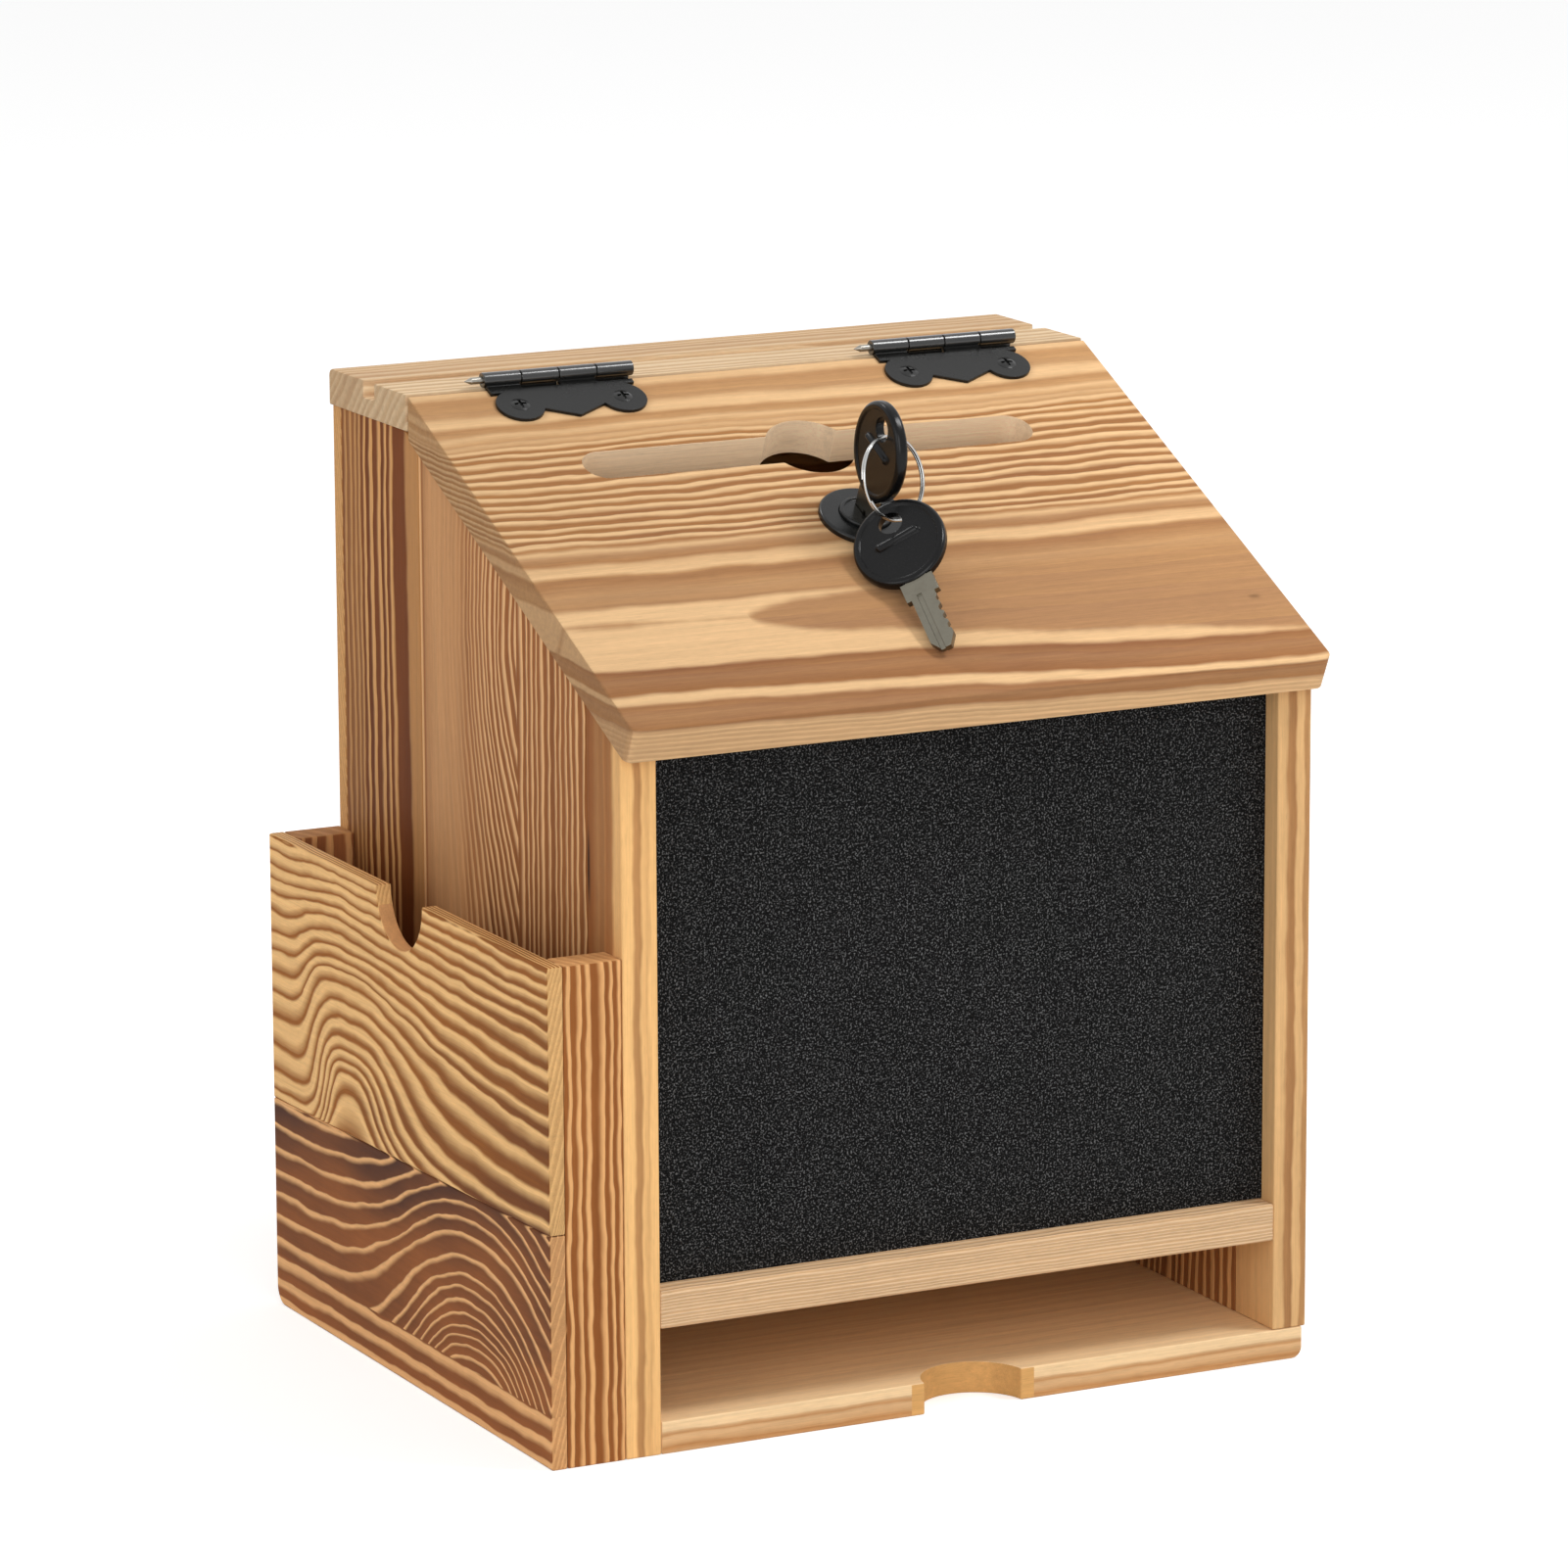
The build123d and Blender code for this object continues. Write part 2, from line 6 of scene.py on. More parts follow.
import json
import math
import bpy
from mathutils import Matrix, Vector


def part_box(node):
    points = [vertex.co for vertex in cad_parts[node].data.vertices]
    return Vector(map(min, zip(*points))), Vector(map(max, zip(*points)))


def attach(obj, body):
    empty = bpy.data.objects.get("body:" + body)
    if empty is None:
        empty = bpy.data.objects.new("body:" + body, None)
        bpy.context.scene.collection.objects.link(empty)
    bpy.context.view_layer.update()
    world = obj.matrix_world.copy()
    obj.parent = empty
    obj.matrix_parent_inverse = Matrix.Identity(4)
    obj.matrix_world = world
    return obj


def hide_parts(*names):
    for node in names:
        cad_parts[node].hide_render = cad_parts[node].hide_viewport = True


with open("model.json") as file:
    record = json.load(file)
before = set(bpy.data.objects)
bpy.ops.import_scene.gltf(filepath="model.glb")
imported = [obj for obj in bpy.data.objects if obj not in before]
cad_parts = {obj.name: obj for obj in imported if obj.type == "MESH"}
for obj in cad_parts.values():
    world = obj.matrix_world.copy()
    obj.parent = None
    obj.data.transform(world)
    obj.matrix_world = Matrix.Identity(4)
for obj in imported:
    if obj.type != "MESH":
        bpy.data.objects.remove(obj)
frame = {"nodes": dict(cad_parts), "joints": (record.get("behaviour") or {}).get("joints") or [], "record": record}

from types import SimpleNamespace

import bmesh
import bpy
from bpy.props import FloatProperty, FloatVectorProperty
from mathutils import Matrix, Vector

bl_info = {
    "name": "Wooden suggestion box",
    "version": (1, 0, 0),
    "blender": (4, 5, 0),
    "location": "View3D > Sidebar > Suggestion box",
    "description": "Wood, fittings, keys and studio of a wooden suggestion box",
    "category": "Object",
}

MM = 0.001
X, Y, Z = Vector((1, 0, 0)), Vector((0, 1, 0)), Vector((0, 0, 1))
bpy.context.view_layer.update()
NODES = frame["nodes"]
JOINTS = {joint["name"]: joint for joint in frame["joints"]}
BODIES = frame["record"]["behaviour"]["bodies"]
BODY_OF = {node: body for body, nodes in BODIES.items() for node in nodes}
SLOT_OF = {part["node"]: part["material_slot"] for part in frame["record"]["subparts"]}

# Directions of the sloping lid, read from the lock's axis and the hinge line.
OUTWARD = -Vector(JOINTS["lock_turn"]["axis"]).normalized()
UP_SLOPE = OUTWARD.cross(X)
LOCK_CENTRE = Vector(JOINTS["lock_turn"]["pos_m"])
HINGE_LINE = Vector(JOINTS["lid_hinge"]["pos_m"])
CREST = Vector((0, HINGE_LINE.y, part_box("top_board")[1].z))

# Sizes of the fittings, as the solids have them.
LEAF_THICK = 1.0 * MM
BARREL_RADIUS = 2.0 * MM
SCREW_DOWN = 9.9 * MM      # from the crest to the screws on the lid, down the slope
SCREW_DOME = 0.5 * MM
RING_RADIUS = 11.0 * MM
RING_TURN, RING_LEAN = math.radians(20), math.radians(13)

# The raised bar on the key heads: half its length, its half width and its half thickness.
BAR_HALF, BAR_WIDE, BAR_THICK = 6.6 * MM, 1.45 * MM, 2.35 * MM
BAR_SHIFT = 1.0 * MM       # from the middle of the head, away from the blade

FLOOR_GLOW = 0.52          # the floor's own light, which lifts it to white


# Colours and helpers for node trees.

def paint(red, green, blue):
    """A colour given from 0 to 255 as it looks on a screen, as linear values."""
    linear = []
    for value in (red, green, blue):
        value /= 255
        linear.append(value / 12.92 if value <= 0.04045 else ((value + 0.055) / 1.055) ** 2.4)
    return (*linear, 1.0)


def reckoned(operation, swapped=False):
    """A method that does one of Python's sums by a Math node."""
    def method(self, other):
        values = (other, self) if swapped else (self, other)
        return self.bench.math(operation, *values)
    return method


class Value:
    """A node's output, which takes part in sums like a number. Comparisons give 1 or 0."""

    def __init__(self, bench, socket):
        self.bench = bench
        self.socket = socket

    __add__ = reckoned("ADD")
    __sub__ = reckoned("SUBTRACT")
    __rsub__ = reckoned("SUBTRACT", swapped=True)
    __mul__ = reckoned("MULTIPLY")
    __truediv__ = reckoned("DIVIDE")
    __rtruediv__ = reckoned("DIVIDE", swapped=True)
    __pow__ = reckoned("POWER")
    __gt__ = reckoned("GREATER_THAN")
    __lt__ = reckoned("LESS_THAN")

    def __abs__(self):
        return self.bench.math("ABSOLUTE", self)

    def clamped(self):
        """The same value, held between 0 and 1 by the sum that made it."""
        self.socket.node.use_clamp = True
        return self


class Bench:
    """Adds nodes to one tree and links them."""

    def __init__(self, tree):
        self.tree = tree

    def node(self, kind, inputs=None, **settings):
        """A new node with its settings, and its inputs set or linked by name or number."""
        made = self.tree.nodes.new(kind)
        for key, value in settings.items():
            setattr(made, key, value)
        self.feed(made, inputs or {})
        return made

    def add(self, kind, inputs=None, output=0, **settings):
        """One output of a new node."""
        return Value(self, self.node(kind, inputs, **settings).outputs[output])

    def feed(self, node, inputs):
        """Sets a node's inputs, or links them to values."""
        for key, value in inputs.items():
            if isinstance(value, Value):
                self.tree.links.new(value.socket, node.inputs[key])
            else:
                node.inputs[key].default_value = value

    def group(self, tree, values):
        """The outputs by name of a group that is given its inputs by name."""
        inputs = {titled(key): value for key, value in values.items()}
        node = self.node("ShaderNodeGroup", inputs, node_tree=tree)
        return SimpleNamespace(**{output.name.lower().replace(" ", "_"): Value(self, output)
                                  for output in node.outputs})

    def math(self, operation, *values):
        """The result of a sum on numbers."""
        return self.add("ShaderNodeMath", dict(enumerate(values)), operation=operation)

    def vector(self, operation, *values, output=0):
        """The result of a sum on vectors. Output 1 holds a result that is a number."""
        return self.add("ShaderNodeVectorMath", dict(enumerate(values)), output, operation=operation)

    def split(self, vector):
        """The three parts of a vector."""
        return [Value(self, part) for part in self.node("ShaderNodeSeparateXYZ", {0: vector}).outputs]

    def point(self, x=0.0, y=0.0, z=0.0):
        """A vector from its parts."""
        return self.add("ShaderNodeCombineXYZ", {0: x, 1: y, 2: z})

    def place(self, output="Object"):
        """Where a point lies in its piece, or which way its face looks."""
        return self.add("ShaderNodeTexCoord", None, output)

    def ramp(self, value, low, high, to_low=0.0, to_high=1.0):
        """Value from low to high as a smooth step from to_low to to_high."""
        inputs = {0: value, 1: low, 2: high, 3: to_low, 4: to_high}
        return self.add("ShaderNodeMapRange", inputs, interpolation_type="SMOOTHSTEP")

    def mix(self, factor, one, other):
        """Two numbers mixed."""
        return self.add("ShaderNodeMix", {0: factor, 2: one, 3: other})

    def blend(self, factor, one, other, mode="MIX"):
        """Two colours mixed."""
        inputs = {0: factor, 6: one, 7: other}
        return self.add("ShaderNodeMix", inputs, 2, data_type="RGBA", blend_type=mode)

    def noise(self, vector, scale=1.0, detail=2.0, roughness=0.5):
        """A noise texture's value."""
        inputs = {"Vector": vector, "Scale": scale, "Detail": detail, "Roughness": roughness}
        return self.add("ShaderNodeTexNoise", inputs)

    def line_noise(self, place, detail):
        """Noise along a line."""
        inputs = {"W": place, "Scale": 1.0, "Detail": detail}
        return self.add("ShaderNodeTexNoise", inputs, noise_dimensions="1D")

    def drawn_out(self, given, along, across, detail=2.0, roughness=0.5):
        """Noise of one scale along a board's grain and another across it, different by its seed."""
        scaled = self.vector("MULTIPLY", given.vector, (along, across, across))
        return self.noise(self.vector("ADD", scaled, given.seed), 1.0, detail, roughness)


FLOAT, VECTOR, COLOUR = "NodeSocketFloat", "NodeSocketVector", "NodeSocketColor"
GEOMETRY, MATERIAL = "NodeSocketGeometry", "NodeSocketMaterial"
SKIN = {"color": COLOUR, "roughness": FLOAT, "height": FLOAT}


def titled(key):
    """The label of a socket, as Swell Along for swell_along."""
    return key.replace("_", " ").title()


def new_group(name, inputs, outputs, kind="ShaderNodeTree"):
    """A node group whose inputs are given as default values, or as types where none is needed.

    Gives its bench, its inputs by name, and a function that takes its results and gives its tree.
    """
    tree = bpy.data.node_groups.new(name, kind)
    for key, default in inputs.items():
        bare = isinstance(default, str)
        socket = default if bare else COLOUR if isinstance(default, tuple) else FLOAT
        made = tree.interface.new_socket(titled(key), in_out="INPUT", socket_type=socket)
        if not bare:
            made.default_value = default
    for key, socket in outputs.items():
        tree.interface.new_socket(titled(key), in_out="OUTPUT", socket_type=socket)
    bench = Bench(tree)
    entry = bench.node("NodeGroupInput").outputs
    leave = bench.node("NodeGroupOutput")

    def close(**results):
        bench.feed(leave, {titled(key): value for key, value in results.items()})
        return tree

    given = SimpleNamespace(**{key: Value(bench, entry[titled(key)]) for key in inputs})
    return bench, given, close


FLOW = dict(
    vector=VECTOR, rings_tilt=0.3, swell_along=0.0, swell_across=0.0, swell_length=50.0,
    swell_width=50.0, swell_height=0.0, swell_lean=0.0, swell_flatness=2.0, swell_spread=0.0,
    wave_height=1.0, wave_length=70.0, seed=0.0)


def grain_flow():
    """How far across a board's growth rings each point lies, in mm as measured on its face.

    The board's own frame has X along the grain, Y across its face and Z square to it.
    """
    bench, given, close = new_group("grain_flow", FLOW, {"across": FLOAT})
    x, y, z = bench.split(given.vector)

    # Slow waves and small ripples carry whole groups of lines up and down.
    long = 1.0 / given.wave_length
    short = long * 2.6
    scaled = bench.vector("MULTIPLY", given.vector, bench.point(long, short, short))
    moved = bench.vector("ADD", scaled, given.seed)
    wave = (bench.noise(moved, 1.0, 3.0, 0.42) - 0.5) * (given.wave_height * 5.0)
    place = (bench.drawn_out(given, 0.065, 0.11) - 0.5) * 2.2 + (y + wave)

    # One swell lifts them into arches, as over a hidden knot.
    ahead = (x - given.swell_along) / given.swell_length
    aside = (place - given.swell_across) / given.swell_width
    reach = aside * given.swell_spread + (ahead * given.swell_lean + 1.0)
    ahead = ahead / bench.math("MAXIMUM", reach, 0.3)
    ahead = abs(ahead) ** given.swell_flatness
    bell = bench.math("EXPONENT", ahead * -1.0 - abs(aside) ** 2.0)
    lifted = place - bell * given.swell_height
    return close(across=z * bench.math("TANGENT", given.rings_tilt) + lifted)


LINES = dict(
    vector=VECTOR, count=0.0, line_share=0.4, line_softness=0.15, line_drift=0.1, line_along=0.0,
    line_across=0.0, seed=0.0)


def ring_lines():
    """Light summer wood and burnt spring wood from a running count of the rings."""
    bench, given, close = new_group("ring_lines", LINES, {"light": FLOAT, "ring_shade": FLOAT})
    x, y, _ = bench.split(given.vector)
    drift = bench.drawn_out(given, 0.022, 0.09) - 0.5
    share = drift * (given.line_drift * 2.0) + given.line_share
    share = y * given.line_across + (x * given.line_along + share)
    part = bench.math("FRACT", given.count)
    edge = 1.0 - share

    # A light line begins softly and ends sharply, as each year's growth does.
    soft = given.line_softness * ((part > 0.5) * 1.1 + 0.5)
    light = bench.ramp(abs(part * 2.0 - 1.0), edge - soft, edge + soft)
    hair = bench.line_noise(given.count * 4.0 + given.seed, 2.0)
    light = light * (hair * 0.5 + 0.75)

    # The burn is deepest just inside each light line and fades toward the next.
    number = bench.math("FLOOR", given.count) + given.seed
    chance = bench.add("ShaderNodeTexWhiteNoise", {"W": number}, noise_dimensions="1D")
    return close(light=light, ring_shade=chance * 0.5 + part * 0.5)


TONGUE = dict(
    vector=VECTOR, tongue_along=0.0, tongue_across=0.0, tongue_rise=0.0, tongue_length=100.0,
    tongue_width=15.0)
TONGUE_LIGHT = 0.24        # how light the wood is inside a burnt tongue


def burnt_tongue():
    """A long burnt patch that starts in a point and widens along the grain, as inside an arch."""
    bench, given, close = new_group("burnt_tongue", TONGUE, {"inside": FLOAT})
    x, y, _ = bench.split(given.vector)
    ahead = x - given.tongue_along
    middle = ahead * given.tongue_rise + given.tongue_across
    share = bench.math("MAXIMUM", ahead, 0.0) / given.tongue_length
    half = bench.math("SQRT", share) * given.tongue_width
    away = (bench.noise(given.vector, 0.05, 3.0) - 0.5) * 5.0 + abs(y - middle)
    return close(inside=bench.ramp(half - away, -2.0, 1.6))


SURFACE = dict(
    vector=VECTOR, end=0.0, light=0.5, ring_shade=0.5, light_colour=(0.6, 0.4, 0.2, 1),
    burnt_colour=(0.3, 0.15, 0.07, 1), deep_colour=(0.1, 0.05, 0.02, 1), scorch_level=0.3,
    scorch_along=0.0, scorch_across=0.0, scorch_patches=0.5, shade_level=0.0, shade_along=0.0,
    stain_along=0.0, stain_across=0.0, stain_length=5.0, stain_width=1.0, stain_strength=0.0,
    bare=0.0, bare_colour=(0.5, 0.35, 0.2, 1), end_plain=0.7, end_tone=0.15, seed=0.0)


def brushed_pine():
    """Colour, roughness and relief of scorched and brushed pine from its ring lines."""
    bench, given, close = new_group("brushed_pine", SURFACE, SKIN)
    x, y, _ = bench.split(given.vector)

    # How much the flame has browned this spot.
    patches = bench.drawn_out(given, 0.014, 0.045, 3.0) - 0.5
    scorch = patches * (given.scorch_patches * 2.0) + given.scorch_level
    scorch = y * given.scorch_across + (x * given.scorch_along + scorch)
    deep = (scorch + (given.ring_shade - 0.5) * 0.6).clamped()
    burnt = bench.blend(deep, given.burnt_colour, given.deep_colour)

    # Cut ends are more even than faces, and the walls of an opening have no lines at all.
    plain = given.end * given.end_plain
    dark = bench.mix(plain, 1.0 - given.light, given.end_tone)
    colour = bench.blend(dark, given.light_colour, burnt)
    colour = bench.blend(given.bare, colour, given.bare_colour)

    # Fibres run along the grain, with soft streaks and short dark pores among them.
    fine = bench.drawn_out(given, 0.06, 2.6, 3.0, 0.6)
    streak = bench.drawn_out(given, 0.02, 0.6)
    mottle = bench.drawn_out(given, 0.3, 0.9, 3.0)
    pore = bench.ramp(bench.drawn_out(given, 0.22, 3.4, 1.0), 0.66, 0.76)
    tone = (fine * 0.34 + 0.83) * (streak * 0.3 + 0.85) * (mottle * 0.16 + 0.92)
    tone = tone * (pore * -0.12 + 1.0) * (given.end * -0.1 + 1.0)
    # Painted shade: shade_level darkens the wood evenly and shade_along darkens it along the board, so the left
    # side's staves are darker towards the bottom. On the lid, shade_along makes the right end lighter.
    tone = tone * (1.0 - (x * given.shade_along + given.shade_level))

    # One small stain.
    along = abs((x - given.stain_along) / given.stain_length) ** 3.0
    across = abs((y - given.stain_across) / given.stain_width) ** 3.0
    stain = bench.math("EXPONENT", (along + across) * -1.0) * given.stain_strength
    tone = tone * (1.0 - stain).clamped()

    rough = given.end * 0.1 + (fine * 0.16 + (dark * 0.1 + 0.46))
    raised = given.light * (1.0 - bench.math("MAXIMUM", plain, given.bare))
    return close(color=bench.blend(1.0, colour, tone, "MULTIPLY"), roughness=rough,
                 height=fine * 0.35 + raised * 0.8)


def coated_skin():
    """Small unevenness and a little dust of paint or moulded plastic."""
    inputs = dict(vector=VECTOR, colour=(0.02, 0.02, 0.02, 1), roughness=0.35)
    bench, given, close = new_group("coated_skin", inputs, SKIN)
    cloud = bench.noise(given.vector, 120.0, 3.0)
    dust = bench.ramp(bench.noise(given.vector, 2400.0, 1.0), 0.62, 0.72) * cloud * 0.08
    return close(color=bench.blend(dust, given.colour, (0.16, 0.155, 0.15, 1)),
                 roughness=cloud * 0.16 + (given.roughness - 0.08),
                 height=bench.noise(given.vector, 1200.0))


def brushed_plate():
    """Fine parallel brushing and faint tarnish of plated steel."""
    inputs = dict(vector=VECTOR, colour=(0.5, 0.5, 0.5, 1), tarnish=(0.25, 0.24, 0.22, 1),
                  roughness=0.25)
    bench, given, close = new_group("brushed_plate", inputs, SKIN)
    lines = bench.noise(bench.vector("MULTIPLY", given.vector, (4000.0, 300.0, 4000.0)))
    stain = bench.ramp(bench.noise(given.vector, 260.0, 4.0, 0.6), 0.42, 0.7) * 0.3
    return close(color=bench.blend(stain, given.colour, given.tarnish),
                 roughness=stain * 0.3 + (lines * 0.12 + given.roughness), height=lines)


# Wood.

# Where each board's grain runs: along it, and across its main face.
UPRIGHT_SIDE = (Z, -Y)
UPRIGHT_FRONT = (Z, X)
LEVEL = (X, Y)
SIDE_LEVEL = (-Y, Z)
BACK_LEVEL = (X, Z)
SLOPING = (X, UP_SLOPE)

# What the numbers that stand together in a board's row mean, in their order. A number that is left
# out keeps the default of its node group.
TOGETHER = {
    "end": ("plain", "tone"),
    "line": ("share", "softness", "drift", "along", "across"),
    "rings": ("spacing", "tilt"),
    "scorch": ("level", "along", "across"),
    "shade": ("level", "along"),
    "stain": ("along", "across", "length", "width", "strength"),
    "swell": ("along", "across", "length", "width", "height"),
    "tongue": ("along", "across", "rise", "length", "width"),
    "wave": ("height", "length"),
}

# A board's rings come at their spacing, or with a light line at each of its lines. Its bands give
# how light it is at places across the grain, and a second number where they hide the rings only
# partly. Places are in mm from the origin, or from the crest on the lid. Colours are (light line,
# burnt, deeply burnt). The walls of an opening within the limits of its cut (along, along, across,
# across) have the cut's colour. Level bands ignore the swell. Above or below a height, a board
# can have other rings.
BOARDS = {
    "lid_board": dict(
        grain=SLOPING, colours=((236, 194, 144), (176, 124, 74), (144, 94, 62)), end=(0.45, 0.75),
        scorch=(0.15, 0, -0.004), rings=(3.7, 1.16), tongue=(-50, -108.5, -0.055, 112, 16),
        cut=(-80, 80, -58, -20, (255, 226, 190)), shade_along=-0.001, stain=(92, -121, 1.6, 0.9, 0.35),
        swell=(115, -142, 125, 26, -14), wave=(1.3, 75), line=(0.46, 0.3, 0.2), seed=3,
        bands={-152: (0.85, 0.75), -149.5: 0.05, -144: 0.2, -140: 0.05, -138.4: 1, -136: 1, -134.6: 0,
               -129: 0.15, -125: 0, -123.6: 0.95, -101: 1, -99: 0.25, -94: 0.35, -88: 0.1, -86.4: 0.2,
               -85: 0.95, -81.5: 0.8, -79.8: 0.1, -77: 0.3, -75: 0.9, -73: (0.5, 0), -29: (0.5, 0),
               -25.5: (0.75, 0.9), -24: 0.35, -21.5: 0.9, -20: 0.35, -17.5: 0.2, -15.5: 0.95,
               -12.8: 0.9, -10.5: 0.35, -4.5: 0.25, -2.5: 0.9}),
    "top_board": dict(
        grain=LEVEL, colours=((236, 208, 168), (202, 162, 120), (166, 122, 90)), scorch_level=0.2,
        end=(0.45, 0.6), rings=(4.4, 0.78), wave_height=1.2, line=(0.5, 0.3), seed=8,
        bands={36: (0.9, 0.3), 62: (0.85, 0.3), 66: (0.6, 0.5), 70: (0.1, 0.5), 86: (0.1, 0.5)}),
    "left_side_rear_stave": dict(
        grain=UPRIGHT_SIDE, colours=((224, 166, 104), (122, 66, 30), (78, 36, 14)),
        scorch=(0.45, -0.002), rings=(4.4, 0.35), wave=(1.3, 150), line=(0.42, 0.24, 0.12), seed=11,
        # painted shade: darker towards the bottom of the stave
        shade=(0.34, -0.0014),
        lines=[-88, -84, -79, -75.5, -72.5, -70, -66.6, -62.6, -57, -53.3, -49.6, -39.2],
        bands={-88: (0.8, 0.6), -82: (0.7, 0.6), -80.5: (0, 0.8), -79: (0.4, 0.5), -70: (0.45, 0.5),
               -68: (0.4, 0), -49.5: (0.5, 0), -48: 0, -41: 0, -39.5: 0.6}),
    "left_side_middle_stave": dict(
        grain=UPRIGHT_SIDE, colours=((240, 186, 130), (158, 98, 54), (100, 54, 26)),
        scorch=(0.35, -0.0016), rings=(4.3, 0.3), swell=(203, 27, 63, 40, -40), wave=(0.7, 110),
        # its shade is painted shade: darker towards the bottom of the stave
        line=(0.42, 0.24, 0.12), seed=21, shade=(0.28, -0.0013), level_bands=True,
        bands={-42: 0.1, -39.6: 0.3, -38: 0.95, -33: 1, -31.5: 0.85, -30.6: 0, -29.4: 0.35,
               -24: (0.52, 0.97), -9: (0.45, 0.9), -3: (0.2, 0.6), 4: (0.3, 0.35), 10: (0.5, 0)},
        beyond=dict(above=27, rings=(3.4, 0.3), wave=(0.5, 160), line=(0.36, 0.26), seed=23)),
    "left_side_front_stave": dict(
        grain=UPRIGHT_SIDE, colours=((248, 196, 130), (140, 70, 26), (98, 42, 12)),
        stain=(151, 68.6, 9, 1.3, 0.85), scorch=(0.35, -0.001), rings=(4, 0.785), wave=(0.5, 140),
        line=(0.5, 0.3), seed=31,
        bands={66: 0.2, 70: 0.1, 74: (0.25, 0.95), 82: (0.2, 0.95), 84: 0.85, 87: 0.8, 88.4: 1,
               90.8: 1, 91.6: 0.45, 93: 0.4, 93.8: 0.95, 95.2: 0.75, 96: 1, 99: 0.9}),
    "right_side_rear_stave": dict(
        grain=UPRIGHT_SIDE, colours=((214, 160, 104), (146, 92, 52), (100, 58, 30)), scorch_level=0.35,
        rings=(4.4, 0.4), wave=(1.2, 150), line_share=0.45, seed=41),
    "right_side_middle_stave": dict(
        grain=UPRIGHT_SIDE, colours=((224, 172, 116), (162, 106, 62), (112, 68, 40)), scorch_level=0.35,
        rings=(4.6, 0.3), swell=(90, 0, 80, 30, 26), wave=(1, 120), line_share=0.42, seed=43),
    "right_side_front_stave": dict(
        grain=UPRIGHT_SIDE, colours=((230, 184, 128), (158, 102, 56), (116, 66, 34)),
        rings=(4.6, 0.785), wave=(0.5, 140), line=(0.5, 0.25), seed=47,
        bands={66: (0.95, 0.9), 79: 0.95, 80.6: 0.9, 81.5: 0.3, 83.3: 0.25, 84: 0.95, 85.8: 0.9,
               86.3: 0.4, 87.4: 0.4, 88: 0.85}),
    "base_board": dict(
        # Pale pine, made paler still as painted light that lifts the tray floor in the shelf's shade.
        grain=LEVEL, colours=((252, 218, 170), (196, 140, 86), (160, 104, 58)), scorch_level=0.1,
        cut=(-18, 18, -90, -70, (222, 170, 106)), rings=(5.5, 0.9), wave=(1, 110), line=(0.5, 0.4),
        seed=51,
        bands={-104: 0, -101.5: 0.3, -100: 0.5, -98.6: 0.3, -97: 0, -95.6: 0.3, -93.4: 0.5, -92.2: 0,
               -91: 0.9, -86: 0.95, -60: (0.9, 0.85), 80: (0.9, 0.85)}),
    "divider_shelf": dict(
        grain=LEVEL, colours=((240, 204, 162), (220, 178, 134), (196, 150, 104)), scorch_level=0.15,
        rings=(2.8, 1.25), wave_height=0.8, line=(0.5, 0.35), seed=57),
    "back_panel": dict(
        grain=BACK_LEVEL, colours=((236, 182, 120), (190, 126, 70), (152, 94, 48)), scorch_level=0.2,
        rings=(6, 1.35), swell=(-20, 110, 90, 60, 50), wave=(2.4, 90), line_share=0.45, seed=61),
    "strike_bar": dict(
        grain=LEVEL, colours=((232, 194, 148), (208, 164, 114), (180, 130, 84)), scorch_level=0.1,
        rings=(3, 0.6), wave_height=0.6, line=(0.5, 0.3), seed=67),
    "pocket_panel_upper": dict(
        grain=SIDE_LEVEL, colours=((250, 200, 134), (160, 98, 44), (106, 60, 34)),
        scorch=(0.9, 0.006, -0.009), rings=(3.2, 1.3), swell=(-37, 84, 33, 26, 26), swell_lean=0.36,
        swell_flatness=2.7, swell_spread=0.14, wave=(0.7, 34),
        cut=(-16, 22, 110, 129.5, (222, 166, 112)), line=(0.36, 0.4, 0.22, -0.0018, 0.0016), seed=71,
        lines=[44, 47.6, 50, 51.6, 53, 55, 58.2, 62.8, 70, 77.6, 86, 90.5, 97, 102.2, 108, 113.3, 117.6,
               121.6, 125.3, 128.9, 132]),
    "pocket_panel_lower": dict(
        grain=SIDE_LEVEL, colours=((244, 186, 126), (156, 94, 52), (82, 50, 36)),
        scorch=(0.02, -0.001, 0.011), scorch_patches=0.9, rings=(6.4, 1.3),
        swell=(43, 10, 46, 63, 47.7), swell_lean=-0.06, swell_flatness=2.35, wave=(0.7, 50),
        line=(0.26, 0.17, 0.12, 0, -0.001), seed=77,
        lines=[-39, -34, -30, -26, -22.6, -19.3, -15.3, -11, -5.8, -0.4, 7, 18, 24.5, 31, 37.5, 44,
               50.5, 57],
        beyond=dict(below=14, rings=(4.2, 1.3), wave=(0.35, 80), line=(0.42, 0.2), seed=79, lines=[-4,
                    1, 6, 12.2, 18])),
    "pocket_front_post": dict(
        grain=UPRIGHT_FRONT, colours=((234, 176, 116), (160, 98, 50), (124, 70, 36)),
        rings=(2.6, 0.3), wave=(0.4, 150), line=(0.42, 0.26), seed=81,
        lines=[-117, -115, -112, -109.7, -105.4, -103.1, -101]),
    "pocket_rear_post": dict(
        grain=UPRIGHT_FRONT, colours=((206, 150, 96), (150, 92, 54), (112, 68, 42)),
        rings=(4, 0.3), wave=(0.5, 150), seed=83),
    "pocket_floor": dict(
        grain=SIDE_LEVEL, colours=((210, 162, 110), (180, 130, 84), (150, 100, 62)), scorch_level=0.2,
        rings=(3.6, 0.4), wave_height=0.6, line_share=0.5, seed=87),
}


def spelled(row):
    """A board's row with each number under its own name."""
    whole = {}
    for key, value in row.items():
        if key in TOGETHER:
            whole.update({f"{key}_{word}": number for word, number in zip(TOGETHER[key], value)})
        else:
            whole[key] = value
    return whole


